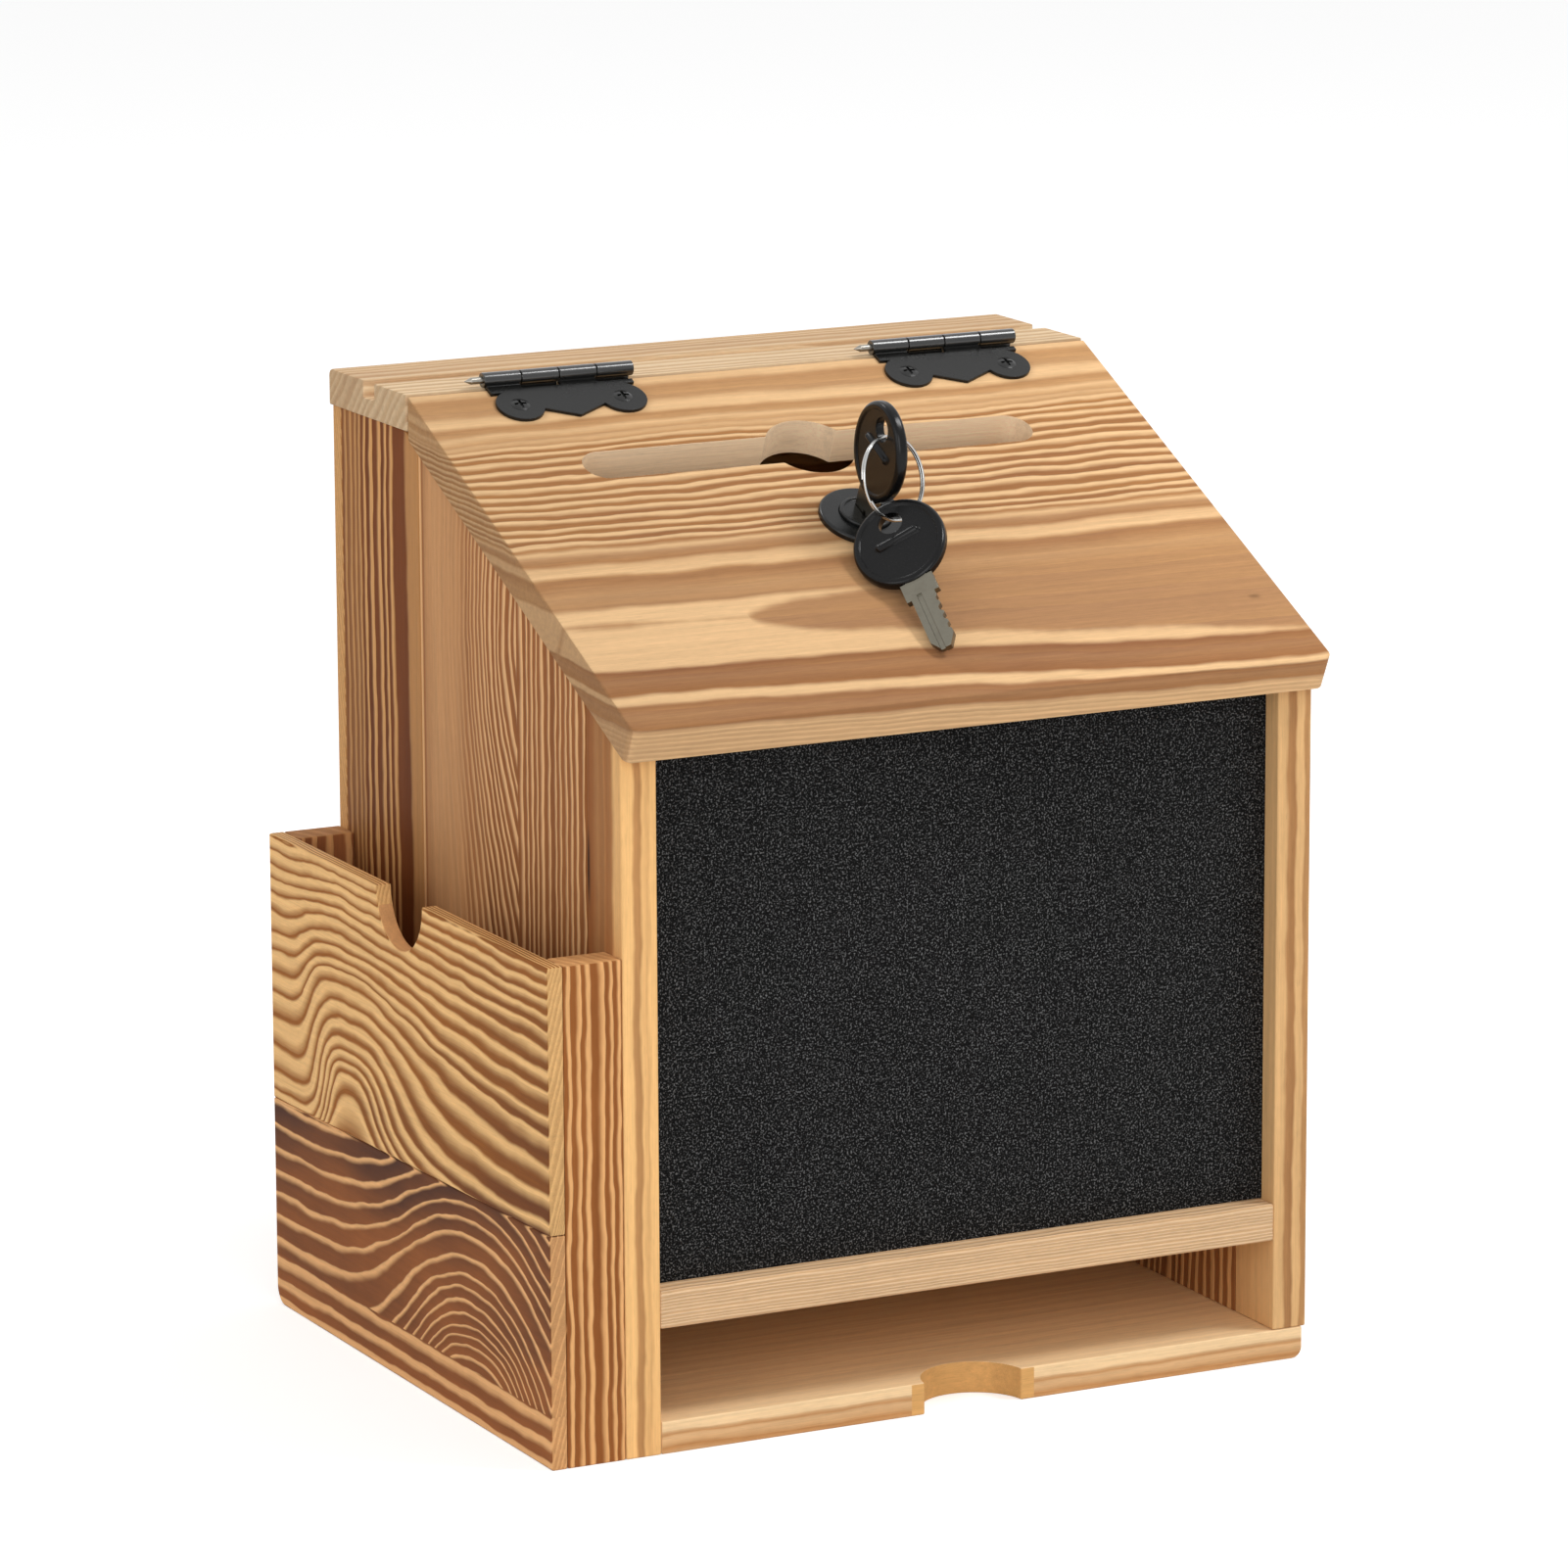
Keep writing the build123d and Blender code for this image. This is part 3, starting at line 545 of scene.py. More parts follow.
def grouped(bench, make, row, **values):
    """The outputs of a node group that is given the values, and what it has sockets for in a row."""
    tree = bpy.data.node_groups.get(make.__name__) or make()
    sockets = [item.name for item in tree.interface.items_tree if item.in_out == "INPUT"]
    taken = {key: float(number) for key, number in row.items() if titled(key) in sockets}
    return bench.group(tree, {**taken, **values})


def grain_vector(bench, node, grain):
    """Object coordinates in mm in the board's own frame, with its outer face at depth 0."""
    along, across = grain
    depth = along.cross(across)
    if node == "lid_board":
        origin = CREST
    else:
        ends = sorted(depth.dot(Vector(corner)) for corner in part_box(node))
        origin = depth * (ends[1] if sum(ends) > 0 else ends[0])
    turn = Matrix((along, across, depth))
    inputs = {"Vector": bench.place(), "Scale": (1 / MM,) * 3, "Rotation": turn.to_euler("XYZ"),
              "Location": -(turn @ origin) / MM}
    return bench.add("ShaderNodeMapping", inputs, vector_type="POINT")


def stops(bench, value, table):
    """Grey and opacity of a colour ramp from a table of places in mm, by grey or by both."""
    low, high = min(table), max(table)
    place = ((value - low) / (high - low)).clamped()
    node = bench.node("ShaderNodeValToRGB", {0: place})
    elements = node.color_ramp.elements
    for spot, look in table.items():
        share = (spot - low) / (high - low)
        stop = elements[0] if spot == low else elements[-1] if spot == high else elements.new(share)
        grey, opacity = look if isinstance(look, tuple) else (look, 1)
        stop.color = (grey, grey, grey, opacity)
    return [Value(bench, output) for output in node.outputs]


def ring_pattern(bench, vector, row):
    """The light and the shade of a board's lines at each point, from its row."""
    across = grouped(bench, grain_flow, row, vector=vector).across
    if "lines" in row:
        lines = row["lines"]
        last = len(lines) - 1
        inside = bench.add("ShaderNodeClamp", {0: across, 1: lines[0], 2: lines[-1]})
        table = {spot: index / last for index, spot in enumerate(lines)}
        count = stops(bench, inside, table)[0] * last
        count = (across - inside) * (1 / row["rings_spacing"]) + count
    else:
        count = across / row["rings_spacing"]
        count = bench.line_noise(count * 0.37 + row["seed"], 1.0) * 0.9 + count
    found = grouped(bench, ring_lines, row, vector=vector, count=count)
    light = found.light
    if "bands" in row:
        if row.get("level_bands"):
            across = bench.split(vector)[1]
        grey, opacity = stops(bench, across, row["bands"])
        light = bench.mix(opacity, light, grey)
    if "tongue_width" in row:
        inside = grouped(bench, burnt_tongue, row, vector=vector).inside
        light = bench.mix(inside, light, TONGUE_LIGHT)
    return light, found.ring_shade


def cut_wall(bench, vector, normal, row):
    """1 on the walls of an opening that lies between the limits of a board's cut, else 0."""
    depth = row["grain"][0].cross(row["grain"][1])
    mask = abs(bench.vector("DOT_PRODUCT", normal, depth, output=1)) < 0.6
    x, y, _ = bench.split(vector)
    for part, low, high in ((x, *row["cut"][:2]), (y, *row["cut"][2:4])):
        mask = mask * (abs(part - (low + high) / 2) < (high - low) / 2)
    return mask


def new_material(name):
    """A material, the bench that adds to it and its shader."""
    material = bpy.data.materials.new(name)
    material.use_nodes = True
    return material, Bench(material.node_tree), material.node_tree.nodes["Principled BSDF"]


def clothe(bench, shader, skin, depth, strength, specular):
    """Gives a shader its colour, roughness and relief of a depth, and how much it reflects."""
    inputs = {"Height": skin.height, "Distance": depth, "Strength": strength}
    relief = bench.add("ShaderNodeBump", inputs)
    bench.feed(shader, {"Base Color": skin.color, "Roughness": skin.roughness, "Normal": relief,
                        "Specular IOR Level": specular})


def pine(node):
    """One board's wood from its row in BOARDS."""
    material, bench, shader = new_material(f"{node}_pine")
    row = spelled(BOARDS[node])
    vector = grain_vector(bench, node, row["grain"])
    light, shade = ring_pattern(bench, vector, row)
    if "beyond" in row:
        beyond = spelled(row["beyond"])
        height = bench.split(vector)[1]
        far = height > beyond["above"] if "above" in beyond else height < beyond["below"]
        other = ring_pattern(bench, vector, beyond)
        light, shade = bench.mix(far, light, other[0]), bench.mix(far, shade, other[1])
    normal = bench.place("Normal")
    toward = bench.vector("DOT_PRODUCT", normal, row["grain"][0], output=1)
    values = {"vector": vector, "light": light, "ring_shade": shade,
              "end": bench.ramp(abs(toward), 0.6, 0.8)}
    for key, colour in zip(("light_colour", "burnt_colour", "deep_colour"), row["colours"]):
        values[key] = paint(*colour)
    if "cut" in row:
        values["bare"] = cut_wall(bench, vector, normal, row)
        values["bare_colour"] = paint(*row["cut"][4])
    skin = grouped(bench, brushed_pine, row, **values)
    clothe(bench, shader, skin, depth=0.35 * MM, strength=0.8, specular=0.08)
    return material


def chalkboard_paint():
    """Matt black paint with pale specks of its rough grain."""
    material, bench, shader = new_material("chalkboard_paint")
    grit = bench.noise(bench.place(), 1900.0, 2.0, 0.6)
    cloud = bench.noise(bench.place(), 30.0, 3.0)
    speck = bench.ramp(grit, 0.5, 0.72)
    base = bench.blend(cloud, paint(8, 8, 8), paint(16, 16, 16))
    skin = SimpleNamespace(color=bench.blend(speck, base, paint(112, 112, 112)),
                           roughness=speck * -0.15 + 0.85, height=grit)
    clothe(bench, shader, skin, depth=0.2 * MM, strength=0.6, specular=0.08)
    return material


def skinned(name, make, depth, specular, metallic=0.0, **values):
    """A material of one of the coating or plating groups, with its own values."""
    material, bench, shader = new_material(name)
    skin = grouped(bench, make, {}, vector=bench.place(), **values)
    clothe(bench, shader, skin, depth, 0.5, specular)
    bench.feed(shader, {"Metallic": metallic})
    return material


def black_paint(name, colour, roughness, specular):
    """Black enamel or moulded plastic."""
    return skinned(name, coated_skin, 0.03 * MM, specular, colour=tuple(colour), roughness=roughness)


def plated_steel(name, colour, tarnish, roughness):
    """Bare or plated steel."""
    return skinned(name, brushed_plate, 0.02 * MM, 0.5, 1.0, colour=tuple(colour),
                   tarnish=paint(*tarnish), roughness=roughness)


# Shapes that follow a rule.

def placed(name, data):
    """A new object of the scene with its data."""
    piece = bpy.data.objects.new(name, data)
    bpy.context.scene.collection.objects.link(piece)
    return piece


def made_by(name, tree, places, **values):
    """A plain piece from a node tree, the points it starts from and its inputs by name."""
    mesh = bpy.data.meshes.new(name)
    mesh.from_pydata([tuple(place) for place in places], [], [])
    piece = placed(name, mesh)
    made = piece.modifiers.new("made", "NODES")
    made.node_group = tree
    sockets = {item.name: item.identifier for item in tree.interface.items_tree
               if item.in_out == "INPUT"}
    for key, value in values.items():
        made[sockets[titled(key)]] = value
    return settled(piece)


def shape_group(name, **inputs):
    """A geometry group: its bench, its inputs, and a function that ends it with its shape.

    The shape is set out at each place, turned, as real faces in one material.
    """
    inputs = dict(places=GEOMETRY, turn=VECTOR, material=MATERIAL, **inputs)
    bench, given, close = new_group(name, inputs, {"made": GEOMETRY}, "GeometryNodeTree")

    def set_out(shape):
        copies = bench.add("GeometryNodeInstanceOnPoints", {
            "Points": given.places, "Instance": shape, "Rotation": given.turn})
        real = bench.add("GeometryNodeRealizeInstances", {0: copies})
        return close(made=bench.add("GeometryNodeSetMaterial", {
            "Geometry": real, "Material": given.material}))

    return bench, given, set_out


def lifted(bench, shape, height):
    """The shape moved up."""
    return bench.add("GeometryNodeTransform", {
        "Geometry": shape, "Translation": bench.point(z=height)})


def wound(bench, path, radius, sides):
    """A round wire along a path, closed at its ends."""
    profile = bench.add("GeometryNodeCurvePrimitiveCircle", {"Resolution": sides, "Radius": radius})
    return bench.add("GeometryNodeCurveToMesh", {
        "Curve": path, "Profile Curve": profile, "Fill Caps": True})


def ridge(bench, radius, wire, turns, length, low):
    """A screw thread's ridge: a wire wound upwards from the height low."""
    coil = bench.add("GeometryNodeCurveSpiral", {
        "Resolution": 28, "Rotations": turns, "Start Radius": radius, "End Radius": radius,
        "Height": length})
    return lifted(bench, wound(bench, coil, wire, 6), low)


def cross_head_screws():
    """Wood screws with a domed cross head, one at each place, all turned the same way."""
    bench, given, set_out = shape_group(
        "cross_head_screws", head_radius=2.6 * MM, shank_radius=1.2 * MM, length=8.5 * MM,
        sunk=LEAF_THICK, dome=SCREW_DOME, cross=3.4 * MM)
    radius, shank, sunk, cross = given.head_radius, given.shank_radius, given.sunk, given.cross

    def cone(sides, low, high, height):
        return bench.add("GeometryNodeMeshCone", {
            "Vertices": sides, "Radius Bottom": low, "Radius Top": high, "Depth": height})

    # The head is a disc whose upper face is domed, with a cross cut into it.
    rim = sunk * 0.3
    disc = bench.add("GeometryNodeMeshCylinder", {
        "Vertices": 40, "Fill Segments": 7, "Radius": radius, "Depth": rim})
    x, y, z = bench.split(bench.add("GeometryNodeInputPosition"))
    share = (x * x + y * y) / (radius * radius)
    rise = (1.0 - share).clamped() * given.dome
    disc = bench.add("GeometryNodeSetPosition", {
        "Geometry": disc, "Selection": z > 0.0, "Offset": bench.point(z=rise)})
    disc = lifted(bench, disc, sunk - rim * 0.5)
    narrow = cross * 0.24
    cut = bench.node("GeometryNodeMeshBoolean", {"Mesh 1": disc, "Self Intersection": True},
                     operation="DIFFERENCE", solver="EXACT")
    for size in (bench.point(cross, narrow, cross), bench.point(narrow, cross, cross)):
        bar = bench.add("GeometryNodeMeshCube", {"Size": size})
        bench.feed(cut, {"Mesh 2": lifted(bench, bar, cross * 0.5 + sunk * 0.85)})
    head = Value(bench, cut.outputs["Mesh"])

    # Below it come the countersink, the shank with its thread, and the point.
    sink = cone(40, shank, radius, sunk - rim)
    core = shank * 0.72
    point = shank * 2.0
    body = given.length - point
    rod = lifted(bench, cone(24, core, core, body), body * -1.0)
    tip = lifted(bench, cone(24, 0.0, core, point), given.length * -1.0)
    thread = ridge(bench, shank * 0.78, shank * 0.2, 6.0, body * 0.9, body * -0.98)
    whole = bench.node("GeometryNodeJoinGeometry")
    for part in (head, sink, rod, tip, thread):
        bench.feed(whole, {0: part})
    return set_out(Value(bench, whole.outputs[0]))


def barrel_thread():
    """The thread round the lock's body, wound along Z below the lid."""
    bench, given, set_out = shape_group(
        "barrel_thread", radius=9.4 * MM, wire=0.3 * MM, turns=8.0, length=8.0 * MM, low=-22.5 * MM)
    return set_out(ridge(bench, given.radius, given.wire, given.turns, given.length, given.low))


def sprung_ring():
    """Two turns of wire side by side that step over between their free ends.

    Start and sweep are the angles in radians where the wire starts and through which it runs.
    """
    bench, given, set_out = shape_group(
        "sprung_ring", radius=RING_RADIUS, wire=0.36 * MM, sweep=12.0, start=3.6)
    steps = 288
    share = bench.add("GeometryNodeInputIndex") / float(steps)
    angle = share * given.sweep + given.start
    step = bench.math("SMOOTH_MIN", (share - 0.5) * 30.0, 0.96, 0.2)
    step = bench.math("SMOOTH_MAX", step, -0.96, 0.2)
    spot = bench.point(bench.math("COSINE", angle) * given.radius,
                       bench.math("SINE", angle) * given.radius, step * (given.wire * -1.0))
    line = bench.add("GeometryNodeMeshLine", {"Count": steps + 1})
    line = bench.add("GeometryNodeSetPosition", {"Geometry": line, "Position": spot})
    return set_out(wound(bench, bench.add("GeometryNodeMeshToCurve", {"Mesh": line}), given.wire, 14))


# Pieces.

def whole_faces(node):
    """A CAD node's shape with its flat faces in one piece."""
    work = bmesh.new()
    work.from_mesh(NODES[node].data)
    bmesh.ops.remove_doubles(work, verts=work.verts, dist=1e-6)
    bmesh.ops.dissolve_limit(work, angle_limit=math.radians(0.5), verts=work.verts, edges=work.edges)
    return work


def piece_from(work, name):
    """A new piece of the worked shape, which is then put away."""
    mesh = bpy.data.meshes.new(name)
    work.to_mesh(mesh)
    work.free()
    return placed(name, mesh)


def eased(node, name, width):
    """A copy of a CAD node with its edges rubbed round by width."""
    piece = piece_from(whole_faces(node), name)
    bevel = piece.modifiers.new("eased_edges", "BEVEL")
    bevel.width = width
    bevel.segments = 2
    bevel.limit_method = "ANGLE"
    bevel.angle_limit = math.radians(35)
    bevel.use_clamp_overlap = False
    bevel.miter_outer = "MITER_ARC"
    piece.modifiers.new("joined_slivers", "WELD").merge_threshold = 2e-6
    return settled(piece)


def plain(piece):
    """Turns the piece's modifiers into plain mesh."""
    graph = bpy.context.evaluated_depsgraph_get()
    mesh = bpy.data.meshes.new_from_object(piece.evaluated_get(graph))
    mesh.name = piece.name
    piece.modifiers.clear()
    piece.data = mesh


def settled(piece):
    """The piece as plain mesh, smooth but for its sharp edges, its large faces evenly shaded."""
    plain(piece)
    piece.data.shade_smooth()
    piece.data.set_sharp_from_angle(angle=math.radians(32))
    piece.modifiers.new("even_faces", "WEIGHTED_NORMAL").keep_sharp = True
    plain(piece)
    return piece


def finish(piece, material):
    """The piece, or a CAD node's object, has one material and no other."""
    piece.data.materials.clear()
    piece.data.materials.append(material)


def belong(piece, node, material):
    """The piece rides on a node's body, in the node's finish."""
    finish(piece, material)
    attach(piece, BODY_OF[node])


def stand_for(piece, nodes, material):
    """The piece takes the nodes' place."""
    belong(piece, nodes[0], material)
    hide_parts(*nodes)


def dress(nodes, material, edge, suffix):
    """Each node's place is taken by a copy with eased edges and its finish."""
    for node in nodes:
        stand_for(eased(node, f"{node}_{suffix}", edge), [node], material)


def of_slot(slot):
    """The nodes with one finish."""
    return [node for node, given in SLOT_OF.items() if given == slot]


def polish_barrels(material):
    """Gives a hinge material a glossy coat on the barrels round the hinge line."""
    bench = Bench(material.node_tree)
    away = bench.vector("SUBTRACT", bench.place(), HINGE_LINE)
    away = bench.vector("MULTIPLY", away, Y + Z)
    far = bench.vector("LENGTH", away, output=1)
    mask = bench.ramp(far, BARREL_RADIUS + 0.1 * MM, BARREL_RADIUS + 0.4 * MM, 1.0, 0.0)
    bench.feed(material.node_tree.nodes["Principled BSDF"], {
        "Coat Weight": mask, "Coat Roughness": 0.16, "Coat IOR": 1.5})


def head_bar(head, blade, name):
    """The raised bar across both faces of a key head, rounded along its top."""
    work = whole_faces(head)
    square = max(work.faces, key=lambda face: face.calc_area()).normal.copy()
    work.free()
    head_points, blade_points = ([vert.co for vert in NODES[node].data.vertices]
                                 for node in (head, blade))
    length = sum(head_points, Vector()) / len(head_points)
    length -= sum(blade_points, Vector()) / len(blade_points)
    along = (length - square * length.dot(square)).normalized()
    across = along.cross(square)
    centre = along * BAR_SHIFT
    for way in (across, along, square):
        span = [way.dot(point) for point in head_points]
        centre += way * (min(span) + max(span)) / 2

    work = bmesh.new()
    bmesh.ops.create_uvsphere(work, u_segments=32, v_segments=16, radius=1.0)
    for vert in work.verts:
        spot = vert.co.copy()
        side = math.copysign(BAR_HALF - BAR_WIDE, spot.x) if abs(spot.x) > 1e-4 else 0.0
        vert.co = (centre + across * (spot.x * BAR_WIDE + side) + along * spot.y * BAR_WIDE
                   + square * spot.z * BAR_THICK)
    work.normal_update()
    bmesh.ops.recalc_face_normals(work, faces=work.faces)
    piece = piece_from(work, name)
    piece.data.shade_smooth()
    return piece


def size(name, description, low, default, high):
    """A length that a user would change, from millimetres."""
    return FloatProperty(name=name, description=description, default=default * MM, min=low * MM,
                         max=high * MM, precision=5, subtype="DISTANCE", unit="LENGTH")


def tint(name, description, colour):
    """A colour that a user would change, from 0 to 255 as it looks on a screen."""
    return FloatVectorProperty(name=name, description=description, default=paint(*colour), min=0.0,
                               max=1.0, size=4, subtype="COLOR")


def power(name, description, default):
    """The power of a light."""
    return FloatProperty(name=name, description=description, default=default, min=0.0, unit="POWER")


class BoxWoodSizes(bpy.types.PropertyGroup):
    """Sizes of the woodwork's finish."""
    edge: size("Eased edge", "How far the boards' edges are rubbed round", 0.05, 0.5, 2.0)
    lid_edge: size("Lid edge", "How far the lid's edges are rubbed round", 0.05, 0.25, 2.0)


class FittingLooks(bpy.types.PropertyGroup):
    """Sizes and colours of the metal and plastic fittings."""
    hinge_edge: size("Hinge edge", "How far the leaves' edges are rounded", 0.02, 0.18, 0.4)
    hinge_colour: tint("Hinge colour", "Enamel of the hinges", (16, 16, 15))
    lock_edge: size("Lock edge", "How far the lock's edges are rounded", 0.02, 0.25, 0.5)
    lock_colour: tint("Lock colour", "Enamel of the lock", (17, 18, 18))
    key_edge: size("Key head edge", "How far the key heads' edges are rounded", 0.02, 0.3, 0.4)
    blade_edge: size("Blade edge", "How far the blades' edges are rounded", 0.02, 0.12, 0.3)
    key_colour: tint("Key head colour", "Plastic of the key heads", (9, 9, 10))
    cross: size("Screw cross", "Length of the cross in the screw heads", 1.0, 3.4, 4.5)
    ring_wire: size("Ring wire", "Radius of the split ring's wire", 0.1, 0.36, 0.5)
    ring_colour: tint("Ring colour", "Steel of the split ring", (190, 190, 188))


class StudioSettings(bpy.types.PropertyGroup):
    """Light of the studio."""
    main_power: power("Main light", "Power of the light above on the right", 18.5)
    front_power: power("Front light", "Power of the large light in front", 18.0)
    side_power: power("Side light", "Power of the light on the left", 7.5)
    glint_power: power("Glint light", "Power of the small light above and behind", 5.0)
    world_level: FloatProperty(
        name="Room light", description="Strength of the even light from all round", default=0.5,
        min=0.0, max=1.0, subtype="FACTOR")


class BOX_OT_boards(bpy.types.Operator):
    """Makes every board with eased edges and its own wood"""
    bl_idname = "suggestion_box.boards"
    bl_label = "Boards"

    def execute(self, context):
        wood = context.scene.box_wood
        for node in BOARDS:
            dress([node], pine(node), wood.lid_edge if node == "lid_board" else wood.edge, "wood")
        return {"FINISHED"}


class BOX_OT_chalkboard(bpy.types.Operator):
    """Gives the chalkboard its paint"""
    bl_idname = "suggestion_box.chalkboard"
    bl_label = "Chalkboard"

    def execute(self, context):
        finish(NODES["chalkboard"], chalkboard_paint())
        return {"FINISHED"}


class BOX_OT_hinges(bpy.types.Operator):
    """Makes the hinges' leaves and finishes their pins"""
    bl_idname = "suggestion_box.hinges"
    bl_label = "Hinges"

    def execute(self, context):
        looks = context.scene.box_fittings
        enamel = black_paint("hinge_enamel", looks.hinge_colour, 0.26, 0.3)
        polish_barrels(enamel)
        dress(of_slot("hinge_black"), enamel, looks.hinge_edge, "enamelled")
        steel = plated_steel("pin_steel", paint(150, 146, 138), (110, 104, 94), 0.25)
        for node in of_slot("pin_steel"):
            finish(NODES[node], steel)
        return {"FINISHED"}


class BOX_OT_screws(bpy.types.Operator):
    """Sets the hinges' wood screws, those on the lid and those hidden in the joint"""
    bl_idname = "suggestion_box.screws"
    bl_label = "Screws"

    def execute(self, context):
        tree = cross_head_screws()
        material = black_paint("screw_enamel", paint(18, 18, 17), 0.24, 0.45)
        for name, hidden, way, dome in (("lid_screws", False, OUTWARD, SCREW_DOME),
                                        ("joint_screws", True, -Y, 0.0)):
            nodes = [node for node in of_slot("screw_black") if node.endswith("hidden") == hidden]
            places = []
            for node in nodes:
                low, high = (Vector(corner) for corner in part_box(node))
                middle = (low + high) / 2
                on_lid = CREST + X * middle.x - UP_SLOPE * SCREW_DOWN
                in_joint = Vector((middle.x, low.y + LEAF_THICK, middle.z))
                places.append(in_joint if hidden else on_lid)
            piece = made_by(name, tree, places, turn=way.to_track_quat("Z", "Y").to_euler(),
                            dome=dome, cross=context.scene.box_fittings.cross, material=material)
            stand_for(piece, nodes, material)
        return {"FINISHED"}


class BOX_OT_lock(bpy.types.Operator):
    """Makes the cam lock's parts and the thread round its body"""
    bl_idname = "suggestion_box.lock"
    bl_label = "Lock"

    def execute(self, context):
        looks = context.scene.box_fittings
        black = black_paint("lock_enamel", looks.lock_colour, 0.26, 0.35)
        works = plated_steel("lock_steel", paint(150, 147, 140), (104, 98, 88), 0.3)
        dress(of_slot("lock_black"), black, looks.lock_edge, "enamelled")
        dress(of_slot("lock_steel"), works, looks.lock_edge, "plated")
        piece = made_by("lock_thread", barrel_thread(), [LOCK_CENTRE],
                        turn=OUTWARD.to_track_quat("Z", "Y").to_euler(), material=black)
        belong(piece, "lock_housing", black)
        return {"FINISHED"}


class BOX_OT_keys(bpy.types.Operator):
    """Makes both keys: moulded heads and steel blades"""
    bl_idname = "suggestion_box.keys"
    bl_label = "Keys"

    def execute(self, context):
        looks = context.scene.box_fittings
        plastic = black_paint("key_plastic", looks.key_colour, 0.22, 0.22)
        steel = plated_steel("key_steel", paint(122, 118, 106), (92, 86, 76), 0.24)
        dress(of_slot("key_plastic"), plastic, looks.key_edge, "moulded")
        dress(of_slot("key_steel"), steel, looks.blade_edge, "cut")
        for key in ("key", "spare_key"):
            bar = head_bar(f"{key}_head", f"{key}_blade", f"{key}_head_bar")
            belong(bar, f"{key}_head", plastic)
        return {"FINISHED"}


class BOX_OT_ring(bpy.types.Operator):
    """Winds the split ring that carries both keys"""
    bl_idname = "suggestion_box.ring"
    bl_label = "Split ring"

    def execute(self, context):
        looks = context.scene.box_fittings
        material = plated_steel("ring_steel", looks.ring_colour, (140, 139, 136), 0.12)
        turned = Matrix.Rotation(RING_TURN, 3, "Z")
        across, rise = turned @ X, turned @ Vector((0, math.sin(RING_LEAN), math.cos(RING_LEAN)))
        centre = Vector(JOINTS["ring_swing"]["pos_m"]) - rise * RING_RADIUS
        turn = Matrix((across, rise, across.cross(rise))).transposed().to_euler()
        piece = made_by("split_ring", sprung_ring(), [centre], turn=turn, wire=looks.ring_wire,
                        material=material)
        stand_for(piece, ["key_ring"], material)
        return {"FINISHED"}


class BOX_OT_studio(bpy.types.Operator):
    """Sets up the floor, the lights and the camera"""
    bl_idname = "suggestion_box.studio"
    bl_label = "Studio"

    def execute(self, context):
        settings = context.scene.box_studio
        context.scene.view_settings.view_transform = "Standard"
        floor()
        white_room(settings.world_level)
        lamp("main_light", (1.1, -0.7, 1.95), (0, 0, 0.1), 0.6, settings.main_power)
        lamp("glint_light", (-0.5, 1.25, 1.8), (0, 0, 0.22), 0.35, settings.glint_power)
        lamp("front_light", (-0.7, -2.45, 0.9), (0, 0, 0.1), 1.5, settings.front_power)
        lamp("side_light", (-2.2, -0.9, 0.9), (0, 0, 0.12), 1.2, settings.side_power)
        camera()
        return {"FINISHED"}


def floor():
    """A wide white floor that keeps the box's shadow."""
    work = bmesh.new()
    bmesh.ops.create_grid(work, x_segments=1, y_segments=1, size=30.0)
    piece = piece_from(work, "floor")
    material, bench, shader = new_material("floor_paper")
    bench.feed(shader, {
        "Base Color": (0.8, 0.8, 0.8, 1), "Roughness": 0.9, "Specular IOR Level": 0.0,
        "Emission Color": (1, 1, 1, 1), "Emission Strength": seen_rays(bench) * FLOOR_GLOW})
    finish(piece, material)


def seen_rays(bench):
    """1 for rays that show something: from the camera, or through a mirror or glass."""
    path = bench.node("ShaderNodeLightPath").outputs
    camera_ray, glossy, through = (Value(bench, path[f"Is {kind} Ray"])
                                   for kind in ("Camera", "Glossy", "Transmission"))
    return bench.math("MAXIMUM", bench.math("MAXIMUM", camera_ray, glossy), through)


def white_room(level):
    """A world that looks white and lights everything evenly."""
    world = bpy.data.worlds.new("white_room")
    world.use_nodes = True
    bpy.context.scene.world = world
    bench = Bench(world.node_tree)
    bench.feed(world.node_tree.nodes["Background"], {
        "Color": (1, 1, 1, 1), "Strength": seen_rays(bench) * (1.0 - level) + level})


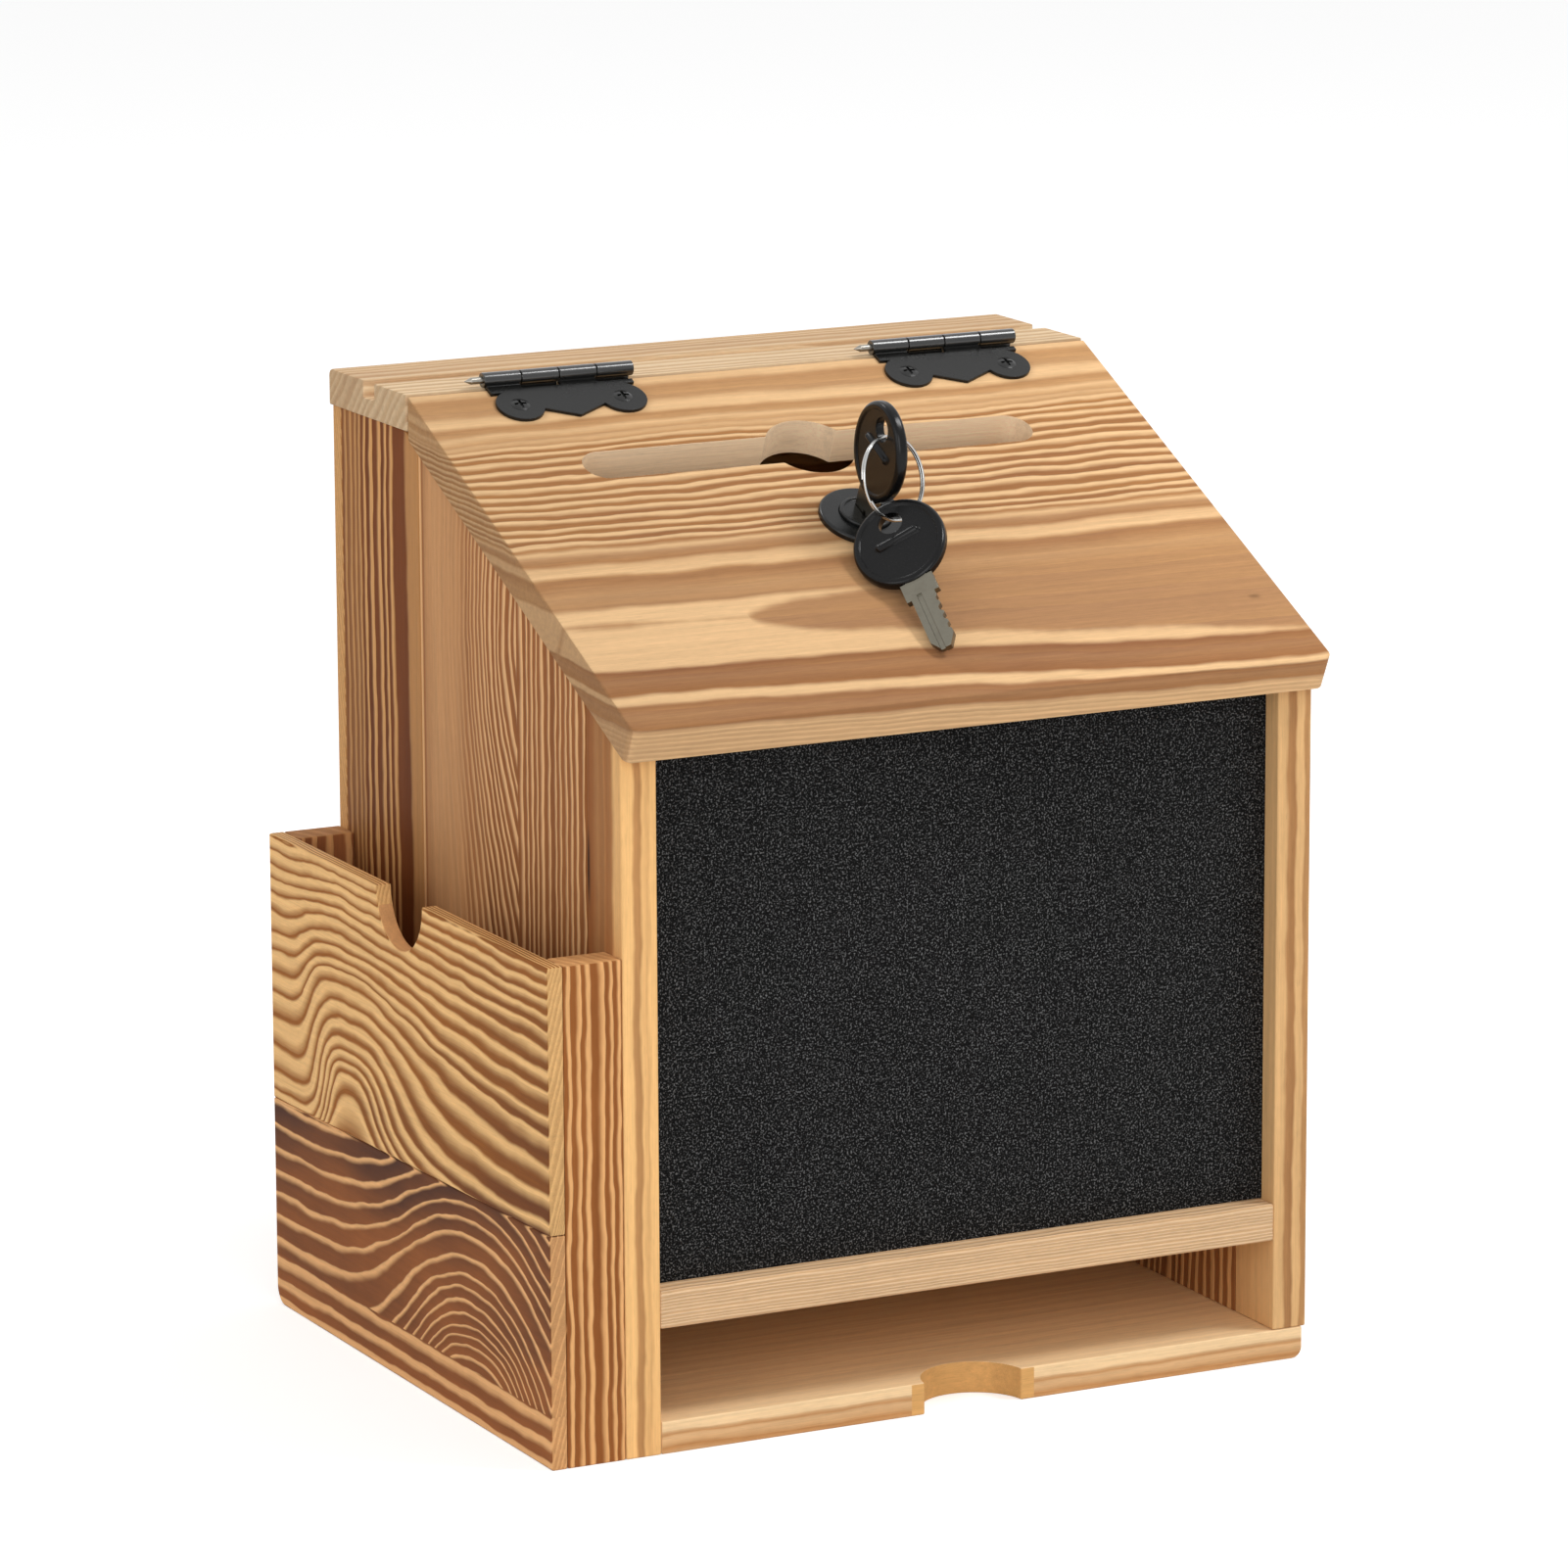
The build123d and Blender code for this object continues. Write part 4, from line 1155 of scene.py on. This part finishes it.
def lamp(name, place, target, width, energy):
    """A square soft light that points at the target."""
    light = bpy.data.lights.new(name, "AREA")
    light.size = width
    light.energy = energy
    piece = placed(name, light)
    piece.location = place
    aim = Vector(target) - Vector(place)
    piece.rotation_euler = aim.to_track_quat("-Z", "Y").to_euler()


def camera():
    """The camera at the viewing angle of the picture that the box was made from."""
    yaw, pitch, roll = (math.radians(angle) for angle in (26.824, 12.205, -0.252))
    data = bpy.data.cameras.new("camera")
    data.sensor_width = 36
    data.lens = 178.53
    piece = placed("camera", data)
    piece.matrix_world = (
        Matrix.Translation((-0.91903, -1.79811, 0.58575)) @ Matrix.Rotation(-yaw, 4, "Z")
        @ Matrix.Rotation(math.pi / 2 - pitch, 4, "X") @ Matrix.Rotation(roll, 4, "Z"))
    bpy.context.scene.camera = piece


class VIEW3D_PT_suggestion_box(bpy.types.Panel):
    """Lists the steps and sizes of the suggestion box"""
    bl_label = "Suggestion box"
    bl_space_type = "VIEW_3D"
    bl_region_type = "UI"
    bl_category = "Suggestion box"

    def draw(self, context):
        layout = self.layout
        for step in STEPS:
            layout.operator(step.bl_idname)
        for settings in (getattr(context.scene, name) for name in SETTINGS):
            box = layout.box()
            for name in settings.__annotations__:
                box.prop(settings, name)


STEPS = [BOX_OT_boards, BOX_OT_chalkboard, BOX_OT_hinges, BOX_OT_screws, BOX_OT_lock, BOX_OT_keys,
         BOX_OT_ring, BOX_OT_studio]
SETTINGS = {"box_wood": BoxWoodSizes, "box_fittings": FittingLooks, "box_studio": StudioSettings}


def register():
    for cls in [*SETTINGS.values(), *STEPS, VIEW3D_PT_suggestion_box]:
        bpy.utils.register_class(cls)
    for name, cls in SETTINGS.items():
        setattr(bpy.types.Scene, name, bpy.props.PointerProperty(type=cls))


def unregister():
    for name in SETTINGS:
        delattr(bpy.types.Scene, name)
    for cls in [VIEW3D_PT_suggestion_box, *reversed(STEPS), *SETTINGS.values()]:
        bpy.utils.unregister_class(cls)


def main():
    """Builds the whole scene."""
    register()
    for step in STEPS:
        group, name = step.bl_idname.split(".")
        getattr(getattr(bpy.ops, group), name)()
    bpy.context.view_layer.update()


if __name__ == "__main__":
    main()
